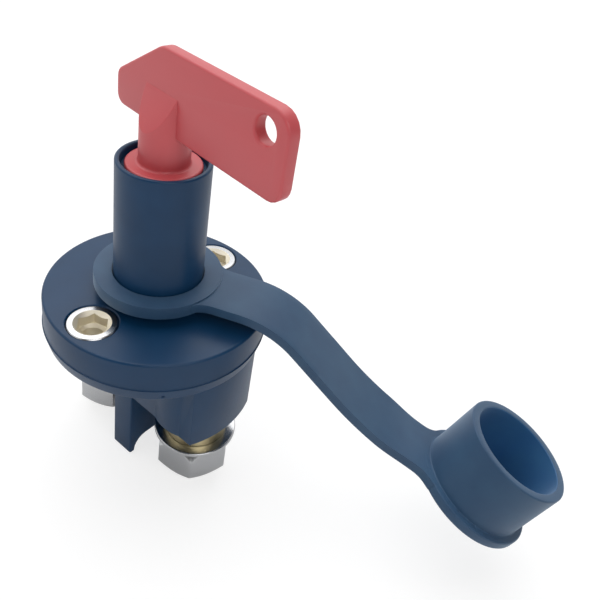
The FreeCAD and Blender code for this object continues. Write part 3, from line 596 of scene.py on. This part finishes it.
shaft = turned("shaft", [
    (0, key_low.z),
    (SHAFT_RADIUS, key_low.z, 0.5),
    (SHAFT_RADIUS, collar_top - COLLAR_THICKNESS),
    (COLLAR_RADIUS, collar_top - COLLAR_THICKNESS, 0.3),
    (COLLAR_RADIUS, collar_top, 0.5),
    (SHAFT_RADIUS, collar_top, 0.6),
    (SHAFT_RADIUS, blade_bottom + WEDGE_TOP),
    (0, blade_bottom + WEDGE_TOP),
], closed=False, steps=96)
slope = math.atan2(WEDGE_HEIGHT, SHAFT_RADIUS - BLADE_THICKNESS / 2)
select_only(shaft)
bpy.ops.object.mode_set(mode="EDIT")
for side in (1, -1):
    bpy.ops.mesh.select_all(action="SELECT")
    bpy.ops.mesh.bisect(
        plane_co=(0, side * (BLADE_THICKNESS / 2 + WEDGE_ROOM) * MM, (blade_bottom + WEDGE_TOP) * MM),
        plane_no=(0, side * math.sin(slope), math.cos(slope)),
        use_fill=True, clear_outer=True, threshold=WELD)
bpy.ops.object.mode_set(mode="OBJECT")
soften(shaft, 0.25, segments=3, angle=24)
cut(key, shaft, "UNION")
cut(key, block("lugs", (-LUG_REACH, -LUG_WIDTH / 2, key_low.z + LUG_RISE),
               (LUG_REACH, LUG_WIDTH / 2, key_low.z + LUG_RISE + LUG_HEIGHT)), "UNION")
key.data.transform(Matrix.Rotation(math.radians(KEY_TURN), 4, "Z"))
smooth(key, 28)
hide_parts("key")
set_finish(key, "red_plastic")
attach(key, "key")
print("key faces:", len(key.data.polygons))

# %% [markdown]
# ## Terminals
# Each terminal is an M10 stud with a brass bush, a flat washer and a hexagon nut. A nut starts as a
# six-sided prism; a lens-shaped tool, turned on a lathe, is intersected with it and leaves the curved
# chamfers that every real nut has. The stud's end shows its thread, a helix with the standard 1.5 mm pitch.

# %% Terminals
NUT_FLATS = 16.0
NUT_TURN = {"front": 10.0, "rear": 20.0}
STUD_RADIUS = 5.0
STUD_HEAD_RADIUS = 6.8
THREAD_PITCH = 1.5
THREAD_DEPTH = 0.92
WASHER_BORE = 5.25
NUT_FACE_SHARE = 0.93
STUD_PLAY = 0.05
BORE_FLARE = 1.2
nut_corner = NUT_FLATS / 2 / math.cos(math.pi / 6)
TOP_CHAMFER = math.tan(math.radians(60))
FOOT_CHAMFER = math.tan(math.radians(35))


def make_nut(name, turn):
    """A hexagon nut with both faces chamfered, the upper one more steeply."""
    nut = rod(name, nut_corner, nut_foot, nut_top, sides=6)
    nut.data.transform(Matrix.Rotation(math.radians(turn - 30), 4, "Z"))
    face = NUT_FLATS / 2 * NUT_FACE_SHARE
    rim = nut_corner + 0.5
    cut(nut, turned("lens", [
        (0, nut_foot),
        (face, nut_foot),
        (rim, nut_foot + (rim - face) * FOOT_CHAMFER),
        (rim, nut_top - (rim - face) * TOP_CHAMFER),
        (face, nut_top),
        (0, nut_top),
    ], closed=False, steps=96), "INTERSECT")
    cut(nut, turned("bore_tool", [
        (0, nut_foot - 1),
        (STUD_RADIUS + BORE_FLARE, nut_foot - 1),
        (STUD_RADIUS + STUD_PLAY, nut_foot + 0.5),
        (STUD_RADIUS + STUD_PLAY, nut_top - 0.5),
        (STUD_RADIUS + BORE_FLARE, nut_top + 1),
        (0, nut_top + 1),
    ], closed=False, steps=64))
    return soften(nut, 0.12, segments=2, angle=20)


def make_stud(name):
    """A stud: plain head and shank, and a threaded end."""
    root = STUD_RADIUS - THREAD_DEPTH
    shank = turned(name, [
        (0, stud_low.z),
        (root - 0.4, stud_low.z, 0.2),
        (root, stud_low.z + 0.5),
        (root, washer_high.z),
        (STUD_RADIUS, washer_high.z),
        (STUD_RADIUS, stud_high.z - STUD_HEAD),
        (STUD_HEAD_RADIUS, stud_high.z - STUD_HEAD),
        (STUD_HEAD_RADIUS, stud_high.z, 0.5),
        (0, stud_high.z),
    ], closed=False, steps=72)
    turns = int((washer_high.z - stud_low.z - 1.0) / THREAD_PITCH)
    foot = stud_low.z + 0.1
    ridge = wound(name + "_thread", [
        Vector((root - 0.2, foot + 0.03)),
        Vector((root, foot + 0.1)),
        Vector((STUD_RADIUS - 0.02, foot + THREAD_PITCH * 0.44)),
        Vector((STUD_RADIUS - 0.02, foot + THREAD_PITCH * 0.56)),
        Vector((root, foot + THREAD_PITCH - 0.1)),
        Vector((root - 0.2, foot + THREAD_PITCH - 0.03)),
    ], THREAD_PITCH, turns, steps=40)
    select_only(shank, ridge)
    bpy.ops.object.join()
    return shank


for side, x in (("front", terminal_x), ("rear", -terminal_x)):
    parts = {
        "terminal_nut_" + side: (make_nut("nut_" + side, NUT_TURN[side]), "bright_nickel"),
        "terminal_washer_" + side: (turned("washer_" + side, [
            (WASHER_BORE, nut_top, 0.2),
            (washer_high.x - terminal_x, nut_top, 0.3),
            (washer_high.x - terminal_x, bush_foot, 0.3),
            (WASHER_BORE, bush_foot, 0.2),
        ]), "bright_nickel"),
        "terminal_bush_" + side: (turned("bush_" + side, [
            (STUD_RADIUS + STUD_PLAY, bush_foot),
            (bush_high.x - terminal_x, bush_foot, 0.3),
            (bush_high.x - terminal_x, body_bottom),
            (STUD_RADIUS + STUD_PLAY, body_bottom),
        ]), "brass"),
        "contact_stud_" + side: (make_stud("stud_" + side), "brass"),
    }
    for node, (piece, finish) in parts.items():
        smooth(piece, 30)
        piece.location.x = x * MM
        settle(piece)
        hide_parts(node)
        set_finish(piece, finish)
        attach(piece, "housing")
    print(side, "terminal:", sum(len(piece.data.polygons) for piece, _ in parts.values()), "faces")

# %% [markdown]
# ## Return spring
# Inside the body a coil spring lifts the contact bridge off when the key is turned to off. It is a round wire
# wound on a helix: a small circle swept by a Screw modifier.

# %% Return spring
SPRING_WIRE = 1.0
SPRING_RADIUS = 5.0
SPRING_TURNS = 4
SPRING_ROOM = 0.1
WIRE_SIDES = 16
spring_low, _ = box_mm("return_spring")
bridge_low, _ = box_mm("contact_bridge")
spring_foot = spring_low.z + SPRING_WIRE / 2
spring_head = bridge_low.z - SPRING_WIRE / 2 - SPRING_ROOM

wire_end = [Vector((SPRING_RADIUS + SPRING_WIRE / 2 * math.cos(math.tau * i / WIRE_SIDES),
                    spring_foot + SPRING_WIRE / 2 * math.sin(math.tau * i / WIRE_SIDES)))
            for i in range(WIRE_SIDES)]
spring = wound("return_spring_coil", wire_end, (spring_head - spring_foot) / SPRING_TURNS,
               SPRING_TURNS, steps=32)
smooth(spring, 50)
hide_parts("return_spring")
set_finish(spring, "brushed_steel")
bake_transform(spring)
print("spring faces:", len(spring.data.polygons))

# %% [markdown]
# ## Dust cap on its strap
# The ring, the strap and the cup are one soft rubber moulding. It is made as two pieces that meet halfway
# along the strap: the first is the ring with half the strap, the second the other half with the cup. The
# strap is a ribbon: rows of points laid along its path, wider where it flares into the ring and into the
# cup's base, then given its thickness by a Solidify modifier.

# %% The strap's path
STRAP_TURN = 22.4
STRAP_THICKNESS = 2.1
STRAP_HALF_WIDTH = 6.9
STRAP_STEP = 0.4
STRAP_RUN = 21.5
BEND_RADIUS = 22.0
DROP_ANGLE = 40.5
STRAIGHT_LENGTH = 13.4
SWEEP_RADIUS = 79.0
CAP_TILT = 24.2
CAP_ROLL = 6.1
FLEX_GAP = 0.3
CAP_TAIL = 2.0
CAP_BASE_RADIUS = 14.55
CAP_BASE_THICKNESS = 2.4
strap_top = ring_high.z - STRAP_STEP
drop = math.radians(DROP_ANGLE)
tilt = math.radians(CAP_TILT)


def path_at(length):
    """Point (s, z) on the strap's upper face and its downward slope, after a length of path from s = 0."""
    if length < STRAP_RUN:
        return length, strap_top, 0.0
    s, z = STRAP_RUN, strap_top
    length -= STRAP_RUN
    if length < BEND_RADIUS * drop:
        slope = length / BEND_RADIUS
        return s + BEND_RADIUS * math.sin(slope), z - BEND_RADIUS * (1 - math.cos(slope)), slope
    s += BEND_RADIUS * math.sin(drop)
    z -= BEND_RADIUS * (1 - math.cos(drop))
    length -= BEND_RADIUS * drop
    straight = min(length, STRAIGHT_LENGTH)
    s += straight * math.cos(drop)
    z -= straight * math.sin(drop)
    length -= straight
    sweep = min(length, SWEEP_RADIUS * (drop - tilt))
    slope = drop - sweep / SWEEP_RADIUS
    s += SWEEP_RADIUS * (math.sin(drop) - math.sin(slope))
    z -= SWEEP_RADIUS * (math.cos(slope) - math.cos(drop))
    length -= sweep
    return s + length * math.cos(slope), z - length * math.sin(slope), slope


path_end = STRAP_RUN + BEND_RADIUS * drop + STRAIGHT_LENGTH + SWEEP_RADIUS * (drop - tilt)
path_middle = STRAP_RUN + BEND_RADIUS * drop + STRAIGHT_LENGTH / 2
end_s, end_z, _ = path_at(path_end)
along = Matrix.Rotation(math.radians(STRAP_TURN), 4, "Z")
cap_pose = along @ Matrix.Rotation(tilt, 4, "Y") @ Matrix.Rotation(math.radians(-CAP_ROLL), 4, "X")
cap_reach = CAP_BASE_RADIUS + CAP_TAIL
tail_spot = along @ Vector((end_s + FLEX_GAP * math.cos(tilt), 0, end_z - FLEX_GAP * math.sin(tilt)))
cap_origin = tail_spot - cap_pose @ Vector((-cap_reach, 0, CAP_BASE_THICKNESS))
print(f"strap path {path_end:.1f} mm, cap at ({cap_origin.x:.1f}, {cap_origin.y:.1f}, {cap_origin.z:.1f})")

# %% [markdown]
# The flare is a fillet in plan: an arc that touches both the strap's straight side and the round rim it
# grows out of. Its centre lies at the rim's radius plus the fillet's radius from the middle of the rim, so
# the width at each row follows from two right-angled triangles.

# %% Ribbons
FLARE_RADIUS = 5.5
ROW_STEP = 0.75
COLUMNS = 8
TWIST_LENGTH = 9


def smooth_step(t):
    t = max(0.0, min(1.0, t))
    return t * t * (3 - 2 * t)


def flare_width(distance, rim_radius):
    """Half the strap's width at a distance from the middle of the round piece it grows out of."""
    centre_w = STRAP_HALF_WIDTH + FLARE_RADIUS
    centre_d = math.sqrt((rim_radius + FLARE_RADIUS) ** 2 - centre_w ** 2)
    if distance >= centre_d:
        return STRAP_HALF_WIDTH
    touch = rim_radius / (rim_radius + FLARE_RADIUS)
    if distance <= centre_d * touch:
        return centre_w * touch
    return centre_w - math.sqrt(FLARE_RADIUS ** 2 - (centre_d - distance) ** 2)


def ribbon(name, first, last, rim_radius, rim_path, rim_sign):
    """Part of the strap between two lengths of its path, flaring towards a rim's middle."""
    rows = int(round((last - first) / ROW_STEP))
    sheet = start(name, bpy.ops.mesh.primitive_grid_add, x_subdivisions=rows,
                  y_subdivisions=COLUMNS, size=1)
    for vertex in sheet.data.vertices:
        length = first + (vertex.co.x + 0.5) * (last - first)
        half = flare_width(rim_sign * (length - rim_path), rim_radius)
        w = 2 * vertex.co.y * half
        s, z, _ = path_at(length)
        twist = math.radians(CAP_ROLL) * smooth_step((length - path_end + TWIST_LENGTH) / TWIST_LENGTH)
        spot = Vector((s, w, z - w * math.sin(twist)))
        vertex.co = along @ spot * MM
    modify(sheet, "SOLIDIFY", thickness=STRAP_THICKNESS * MM, offset=-1, use_even_offset=True)
    return sheet


def open_end(obj, length):
    """Takes the flat end off a ribbon where it was cut across at a length of its path."""
    s, z, slope = path_at(length)
    centre = along @ Vector((s, 0, z)) * MM
    across = along.to_3x3() @ Vector((math.cos(slope), 0, -math.sin(slope)))
    select_only(obj)
    bpy.ops.object.mode_set(mode="EDIT")
    bpy.ops.mesh.select_mode(type="FACE")
    bpy.ops.mesh.select_all(action="DESELECT")
    bpy.ops.object.mode_set(mode="OBJECT")
    for face in obj.data.polygons:
        near_cut = abs((face.center - centre).dot(across)) < 0.05 * MM
        face.select = near_cut and abs(face.normal.dot(across)) > 0.9
    bpy.ops.object.mode_set(mode="EDIT")
    bpy.ops.mesh.delete(type="ONLY_FACE")
    bpy.ops.mesh.select_mode(type="VERT")
    bpy.ops.object.mode_set(mode="OBJECT")


# %% [markdown]
# The ring slips over the neck with a little room. It is thicker than the strap, so a small step shows where
# the strap starts. After the two are joined, a bevel rounds every edge at once, as a rubber mould does. The
# end where the halves meet has to stay flat, so it is taken off before the bevel and closed again after it.

# %% Ring and first half of the strap
RUBBER_ROUND = 0.45
RING_INNER = 10.4
RING_OUTER = 14.4
STRAP_START = 11.6

ring = turned("ring_and_strap", [
    (RING_INNER, ring_low.z),
    (RING_OUTER, ring_low.z),
    (RING_OUTER, ring_high.z),
    (RING_INNER, ring_high.z),
], steps=96)
first_half = ribbon("strap_first_half", STRAP_START, path_middle, RING_OUTER, 0, 1)
cut(ring, first_half, "UNION")
open_end(ring, path_middle)
soften(ring, RUBBER_ROUND, segments=4, angle=40)
close_holes(ring)
smooth(ring, 40)
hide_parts("cap_ring")
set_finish(ring, "rubber")
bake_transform(ring)
print("ring and strap faces:", len(ring.data.polygons))

# %% [markdown]
# The cup closes the neck when the key is out. It is turned upright at the origin, wall, floor and base
# flange in one section, then set down at the end of the strap's path. The second half of the strap runs
# into its base.

# %% Cup and second half of the strap
BASE_TRIM = 0.5
CUP_BORE = 10.5
CUP_RADIUS = 12.45
CUP_HEIGHT = 16.7
CUP_FLOOR = 2.6
BASE_OVERLAP = 4.0
CUP_BEND_BEFORE = 6
CUP_BEND_AFTER = 1

base_radius = CAP_BASE_RADIUS - BASE_TRIM
cup = turned("cup_and_strap", [
    (0, 0),
    (base_radius, 0, 0.45),
    (base_radius, CAP_BASE_THICKNESS, 0.45),
    (CUP_RADIUS, CAP_BASE_THICKNESS, 0.35),
    (CUP_RADIUS, CUP_HEIGHT, 0.35),
    (CUP_BORE, CUP_HEIGHT, 0.3),
    (CUP_BORE, CUP_FLOOR, 1.2),
    (0, CUP_FLOOR),
], closed=False, steps=112)
cup.data.transform(Matrix.Translation(cap_origin * MM) @ cap_pose)
second_half = ribbon("strap_second_half", path_middle, path_end + FLEX_GAP + CAP_TAIL + BASE_OVERLAP,
                     base_radius, path_end + FLEX_GAP + cap_reach, -1)
cut(cup, second_half, "UNION")
open_end(cup, path_middle)
soften(cup, RUBBER_ROUND, segments=4, angle=60)
close_holes(cup)
smooth(cup, 40)
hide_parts("dust_cap", "cap_strap")
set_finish(cup, "rubber")
blend_start, blend_end = path_at(path_end - CUP_BEND_BEFORE), path_at(path_end + CUP_BEND_AFTER)
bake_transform(cup)
print("cup and strap faces:", len(cup.data.polygons))

# %% [markdown]
# ## Finishes
# Each finish starts from its real material. A colour is written as a hex value, as in a paint program, and
# one function turns it into the linear values that light is worked out in. One helper adds a node, sets it
# and links it, so each material below reads as a short list.

# %% Colour and node helpers
def linear(hex_colour):
    """An sRGB hex value as linear red, green, blue and alpha."""
    values = []
    for i in (1, 3, 5):
        c = int(hex_colour[i:i + 2], 16) / 255
        values.append(c / 12.92 if c <= 0.04045 else ((c + 0.055) / 1.055) ** 2.4)
    return (*values, 1.0)


def add_node(tree, kind, links=None, **settings):
    """Adds a node. Settings name its properties or its sockets; links feed its sockets from others."""
    node = tree.nodes.new(kind)
    for name, value in settings.items():
        socket = node.inputs.get(name.replace("_", " "))
        if socket is not None and not hasattr(node, name):
            socket.default_value = value
        else:
            setattr(node, name, value)
    for name, source in (links or {}).items():
        tree.links.new(source, node.inputs[name])
    return node


def new_material(name, **surface):
    """A material whose surface is one Principled BSDF with these sockets set."""
    material = bpy.data.materials.new(name)
    material.use_nodes = True
    tree = material.node_tree
    shader = tree.nodes["Principled BSDF"]
    for socket, value in surface.items():
        shader.inputs[socket.replace("_", " ")].default_value = value
    return material, tree, shader


def object_coordinates(tree):
    return add_node(tree, "ShaderNodeTexCoord").outputs["Object"]


# %% [markdown]
# The housing is glass-filled nylon, moulded in a dark blue-black. The fibres leave a very fine, slightly
# uneven skin: it has no mirror shine, but it greys softly where light grazes it. Grains 0.25 mm across give
# a faint bump and small changes of roughness.

# %% Glass-filled nylon
NYLON_GRAIN = 0.25

nylon, tree, shader = new_material(
    "moulded glass-filled nylon", Roughness=0.37, IOR=1.5, Specular_IOR_Level=0.35)
where = object_coordinates(tree)
grain = add_node(tree, "ShaderNodeTexNoise", {"Vector": where}, Scale=1 / (NYLON_GRAIN * MM),
                 Detail=3.0, Roughness=0.55)
clouds = add_node(tree, "ShaderNodeTexNoise", {"Vector": where}, Scale=1 / (9 * MM), Detail=2.0)
tint = add_node(tree, "ShaderNodeValToRGB", {"Fac": clouds.outputs["Fac"]})
tint.color_ramp.elements[0].position = 0.3
tint.color_ramp.elements[0].color = linear("#063254")
tint.color_ramp.elements[1].position = 0.7
tint.color_ramp.elements[1].color = linear("#0b385c")
tree.links.new(tint.outputs["Color"], shader.inputs["Base Color"])
rough = add_node(tree, "ShaderNodeMapRange", {"Value": grain.outputs["Fac"]})
rough.inputs["To Min"].default_value = 0.30
rough.inputs["To Max"].default_value = 0.44
tree.links.new(rough.outputs["Result"], shader.inputs["Roughness"])
skin = add_node(tree, "ShaderNodeBump", {"Height": grain.outputs["Fac"]}, Strength=0.12,
                Distance=0.02 * MM)
tree.links.new(skin.outputs["Normal"], shader.inputs["Normal"])
print(nylon.name)

# %% [markdown]
# The dust cap is EPDM rubber: softer to the eye than the housing, with a wide pale sheen and a fine bloom.
# The cup's inside comes from a polished core, so it is smoother there; its lighter, clearer blue is painted
# light, for the light that falls into the cup.

# %% EPDM rubber
RUBBER_GRAIN = 0.4


def rubber_skin(name, dark, light, roughness):
    """Rubber with a slow change of tone, a fine grain and a pale sheen where it turns away."""
    material, tree, shader = new_material(name, Roughness=roughness, IOR=1.5)
    where = object_coordinates(tree)
    grain = add_node(tree, "ShaderNodeTexNoise", {"Vector": where}, Scale=1 / (RUBBER_GRAIN * MM),
                     Detail=4.0, Roughness=0.6)
    bloom = add_node(tree, "ShaderNodeTexNoise", {"Vector": where}, Scale=1 / (6 * MM), Detail=3.0)
    tint = add_node(tree, "ShaderNodeValToRGB", {"Fac": bloom.outputs["Fac"]})
    tint.color_ramp.elements[0].position = 0.3
    tint.color_ramp.elements[0].color = linear(dark)
    tint.color_ramp.elements[1].position = 0.75
    tint.color_ramp.elements[1].color = linear(light)
    tree.links.new(tint.outputs["Color"], shader.inputs["Base Color"])
    skin = add_node(tree, "ShaderNodeBump", {"Height": grain.outputs["Fac"]}, Strength=0.15,
                    Distance=0.03 * MM)
    tree.links.new(skin.outputs["Normal"], shader.inputs["Normal"])
    shader.inputs["Sheen Weight"].default_value = 0.8
    shader.inputs["Sheen Roughness"].default_value = 0.45
    shader.inputs["Sheen Tint"].default_value = linear("#b2c3d4")
    return material


rubber = rubber_skin("moulded EPDM rubber", "#173e60", "#204868", 0.55)
# The second rubber's lighter blue is painted light, for the light that falls into the cup.
cup_inside_painted_light = rubber_skin("EPDM rubber from the polished core", "#1f5484", "#275c88", 0.45)
print(rubber.name, cup_inside_painted_light.name)

# %% [markdown]
# The key is moulded from a coral red nylon. It is smoother than the housing, so it shows soft highlights,
# and a little light passes into it before it comes back, which keeps its shadows warm.

# %% Coral nylon
CORAL_GRAIN = 0.3

coral, tree, shader = new_material(
    "moulded coral nylon", Base_Color=linear("#c85358"), Roughness=0.38, IOR=1.53)
shader.inputs["Subsurface Weight"].default_value = 0.08
shader.inputs["Subsurface Radius"].default_value = (1.0, 0.35, 0.3)
shader.inputs["Subsurface Scale"].default_value = 1.2 * MM
where = object_coordinates(tree)
grain = add_node(tree, "ShaderNodeTexNoise", {"Vector": where}, Scale=1 / (CORAL_GRAIN * MM),
                 Detail=3.0, Roughness=0.5)
skin = add_node(tree, "ShaderNodeBump", {"Height": grain.outputs["Fac"]}, Strength=0.1,
                Distance=0.02 * MM)
tree.links.new(skin.outputs["Normal"], shader.inputs["Normal"])
print(coral.name)

# %% [markdown]
# The nuts, washers and inserts are steel with bright nickel plate: a cool, fairly sharp mirror with fine
# lines round the axis, left by turning and by the tumbling barrel.

# %% Nickel, brass and spring steel
TURNING_LINE = 0.35


def plated(name, colour, roughness, line_strength):
    """A metal with fine lines, as turning leaves, and patches a little rougher than others."""
    material, tree, shader = new_material(
        name, Base_Color=linear(colour), Metallic=1.0, Roughness=roughness)
    where = object_coordinates(tree)
    flat = add_node(tree, "ShaderNodeMapping", {"Vector": where})
    flat.inputs["Scale"].default_value = (0.15, 0.15, 1.0)
    lines = add_node(tree, "ShaderNodeTexNoise", {"Vector": flat.outputs["Vector"]},
                     Scale=1 / (TURNING_LINE * MM), Detail=2.0)
    patches = add_node(tree, "ShaderNodeTexNoise", {"Vector": where}, Scale=1 / (2.5 * MM),
                       Detail=3.0)
    rough = add_node(tree, "ShaderNodeMapRange", {"Value": patches.outputs["Fac"]})
    rough.inputs["To Min"].default_value = roughness * 0.8
    rough.inputs["To Max"].default_value = roughness * 1.5
    tree.links.new(rough.outputs["Result"], shader.inputs["Roughness"])
    skin = add_node(tree, "ShaderNodeBump", {"Height": lines.outputs["Fac"]},
                    Strength=line_strength, Distance=0.01 * MM)
    tree.links.new(skin.outputs["Normal"], shader.inputs["Normal"])
    return material


nickel = plated("bright nickel plate", "#c4c5c7", 0.2, 0.2)
# The matt nickel's light cream colour is painted light, for the light that falls into the inserts' sockets.
socket_nickel_painted_light = plated("matt nickel plate", "#efe8d6", 0.5, 0.1)
turned_brass = plated("turned brass", "#cdbd92", 0.32, 0.35)
spring_steel = plated("drawn spring steel", "#9a9a98", 0.3, 0.3)
print(nickel.name, socket_nickel_painted_light.name, turned_brass.name, spring_steel.name)

# %% [markdown]
# The record says which finish each piece has, so one table from slot to material dresses the new pieces and
# the CAD nodes that stay in view.

# %% Dress every piece
FINISHES = {
    "black_plastic": nylon,
    "rubber": rubber,
    "red_plastic": coral,
    "bright_nickel": nickel,
    "brass": turned_brass,
    "brushed_steel": spring_steel,
}
slot_of_node = {part["node"]: part["material_slot"] for part in frame["record"]["subparts"]}
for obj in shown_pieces():
    slot_name = obj.get("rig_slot") or slot_of_node.get(obj.name)
    obj.data.materials.clear()
    obj.data.materials.append(FINISHES[slot_name])

# %% [markdown]
# Two hollows have a material of their own: the cup's inside, and the inserts' sockets, which the plating bath
# reaches less, so that they stay matt. Both are lighter than the rest of their piece, as painted light for
# the light that falls into them: a clearer blue in the cup, a light cream in the sockets. The faces inside
# each hollow are found by their place.

# %% Inside the cup and the sockets
def finish_inside(obj, material, is_inside):
    """Gives a second finish to the faces whose middle passes a test."""
    obj.data.materials.append(material)
    for face in obj.data.polygons:
        if is_inside(face.center / MM):
            face.material_index = 1


def in_cup(spot):
    spot = cap_pose.inverted() @ (spot - cap_origin)
    return math.hypot(spot.x, spot.y) < CUP_BORE + 0.1 and spot.z > CUP_FLOOR - 0.1


def in_socket(spot):
    deep = insert_low.z + 0.5 < spot.z < insert_face - 0.05
    return deep and math.hypot(spot.x, abs(spot.y) - insert_y) < MOUTH_RADIUS


finish_inside(cup, cup_inside_painted_light, in_cup)
for insert in inserts:
    finish_inside(insert, socket_nickel_painted_light, in_socket)

# %% [markdown]
# ## Studio
# A pale floor just under the lowest point and a white room that is darker on the camera's side, as a studio
# is: the dark side keeps the front faces deep in colour, and the bright side behind draws soft pale edges.
# The floor adds a little light of its own for the camera alone, so it stays near white but keeps the
# shadow. From below it can be seen through, so the terminals can be looked at.

# %% Floor and world
FLOOR_GAP = 0.3
FLOOR_GLOW = 0.72
PAPER_WHITE = 0.85
PAPER_SEEN = 0.33
ROOM_BEHIND = (-0.82, 0.55, 0.15)
ROOM_DARK = 0.10
ROOM_BRIGHT = 1.0

low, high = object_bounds()
floor = start("floor", bpy.ops.mesh.primitive_plane_add, size=6.0,
              location=(0, 0, low.z - FLOOR_GAP * MM))
settle(floor)
paper, tree, shader = new_material("white paper", Roughness=0.9)
rays = add_node(tree, "ShaderNodeLightPath")
shade = add_node(tree, "ShaderNodeMapRange", {"Value": rays.outputs["Is Camera Ray"]},
                 To_Min=PAPER_WHITE, To_Max=PAPER_SEEN)
tree.links.new(shade.outputs["Result"], shader.inputs["Base Color"])
glow = add_node(tree, "ShaderNodeMath", {0: rays.outputs["Is Camera Ray"]}, operation="MULTIPLY")
glow.inputs[1].default_value = FLOOR_GLOW
shader.inputs["Emission Color"].default_value = linear("#ffffff")
tree.links.new(glow.outputs[0], shader.inputs["Emission Strength"])
underside = add_node(tree, "ShaderNodeNewGeometry")
clear = add_node(tree, "ShaderNodeBsdfTransparent")
mix = add_node(tree, "ShaderNodeMixShader", {"Fac": underside.outputs["Backfacing"]})
tree.links.new(shader.outputs["BSDF"], mix.inputs[1])
tree.links.new(clear.outputs["BSDF"], mix.inputs[2])
tree.links.new(mix.outputs["Shader"], tree.nodes["Material Output"].inputs["Surface"])
floor.data.materials.append(paper)

world = bpy.data.worlds.new("studio")
bpy.context.scene.world = world
world.use_nodes = True
tree = world.node_tree
background = tree.nodes["Background"]
rays = add_node(tree, "ShaderNodeLightPath")
direction = add_node(tree, "ShaderNodeTexCoord")
behind = add_node(tree, "ShaderNodeVectorMath", {0: direction.outputs["Generated"]},
                  operation="DOT_PRODUCT")
behind.inputs[1].default_value = ROOM_BEHIND
level = add_node(tree, "ShaderNodeMapRange", {"Value": behind.outputs["Value"]},
                 interpolation_type="SMOOTHSTEP", From_Min=-0.3, From_Max=0.9,
                 To_Min=ROOM_DARK, To_Max=ROOM_BRIGHT)
seen = add_node(tree, "ShaderNodeMath", {0: rays.outputs["Is Camera Ray"],
                                         1: level.outputs["Result"]}, operation="MAXIMUM")
background.inputs["Color"].default_value = (1.0, 1.0, 1.0, 1.0)
tree.links.new(seen.outputs[0], background.inputs["Strength"])


def soft_lamp(name, place, size, power):
    """An area lamp aimed at the middle of the object."""
    data = bpy.data.lights.new(name, "AREA")
    data.size = size
    data.energy = power
    lamp = bpy.data.objects.new(name, data)
    lamp.location = place
    lamp.rotation_euler = (-Vector(place)).to_track_quat("-Z", "Y").to_euler()
    bpy.context.scene.collection.objects.link(lamp)
    return lamp


soft_lamp("top_lamp", (-0.35, 0.25, 1.15), 1.5, 11.0)
soft_lamp("front_lamp", (-0.35, -0.70, 0.55), 0.7, 1.2)
soft_lamp("side_lamp", (0.75, -0.35, 0.60), 0.7, 3.2)
print(f"floor at {(low.z - FLOOR_GAP * MM) / MM:.1f} mm")

# %% [markdown]
# ## Camera
# The camera looks down at the switch from the front right. Its place and turn are given in the frame's
# axes.

# %% Camera
CAMERA_PLACE = (90.41, -87.30, 97.95)
CAMERA_TURN = (57.44, -6.99, 40.57)

camera_data = bpy.data.cameras.new("camera")
camera_data.sensor_width = 36.0
camera_data.lens = 41.0
camera_data.shift_x = 0.0649
camera_data.shift_y = -0.1184
camera = bpy.data.objects.new("camera", camera_data)
camera.location = Vector(CAMERA_PLACE) * MM
camera.rotation_euler = [math.radians(angle) for angle in CAMERA_TURN]
bpy.context.scene.collection.objects.link(camera)
bpy.context.scene.camera = camera
bpy.context.scene.view_settings.view_transform = "Standard"
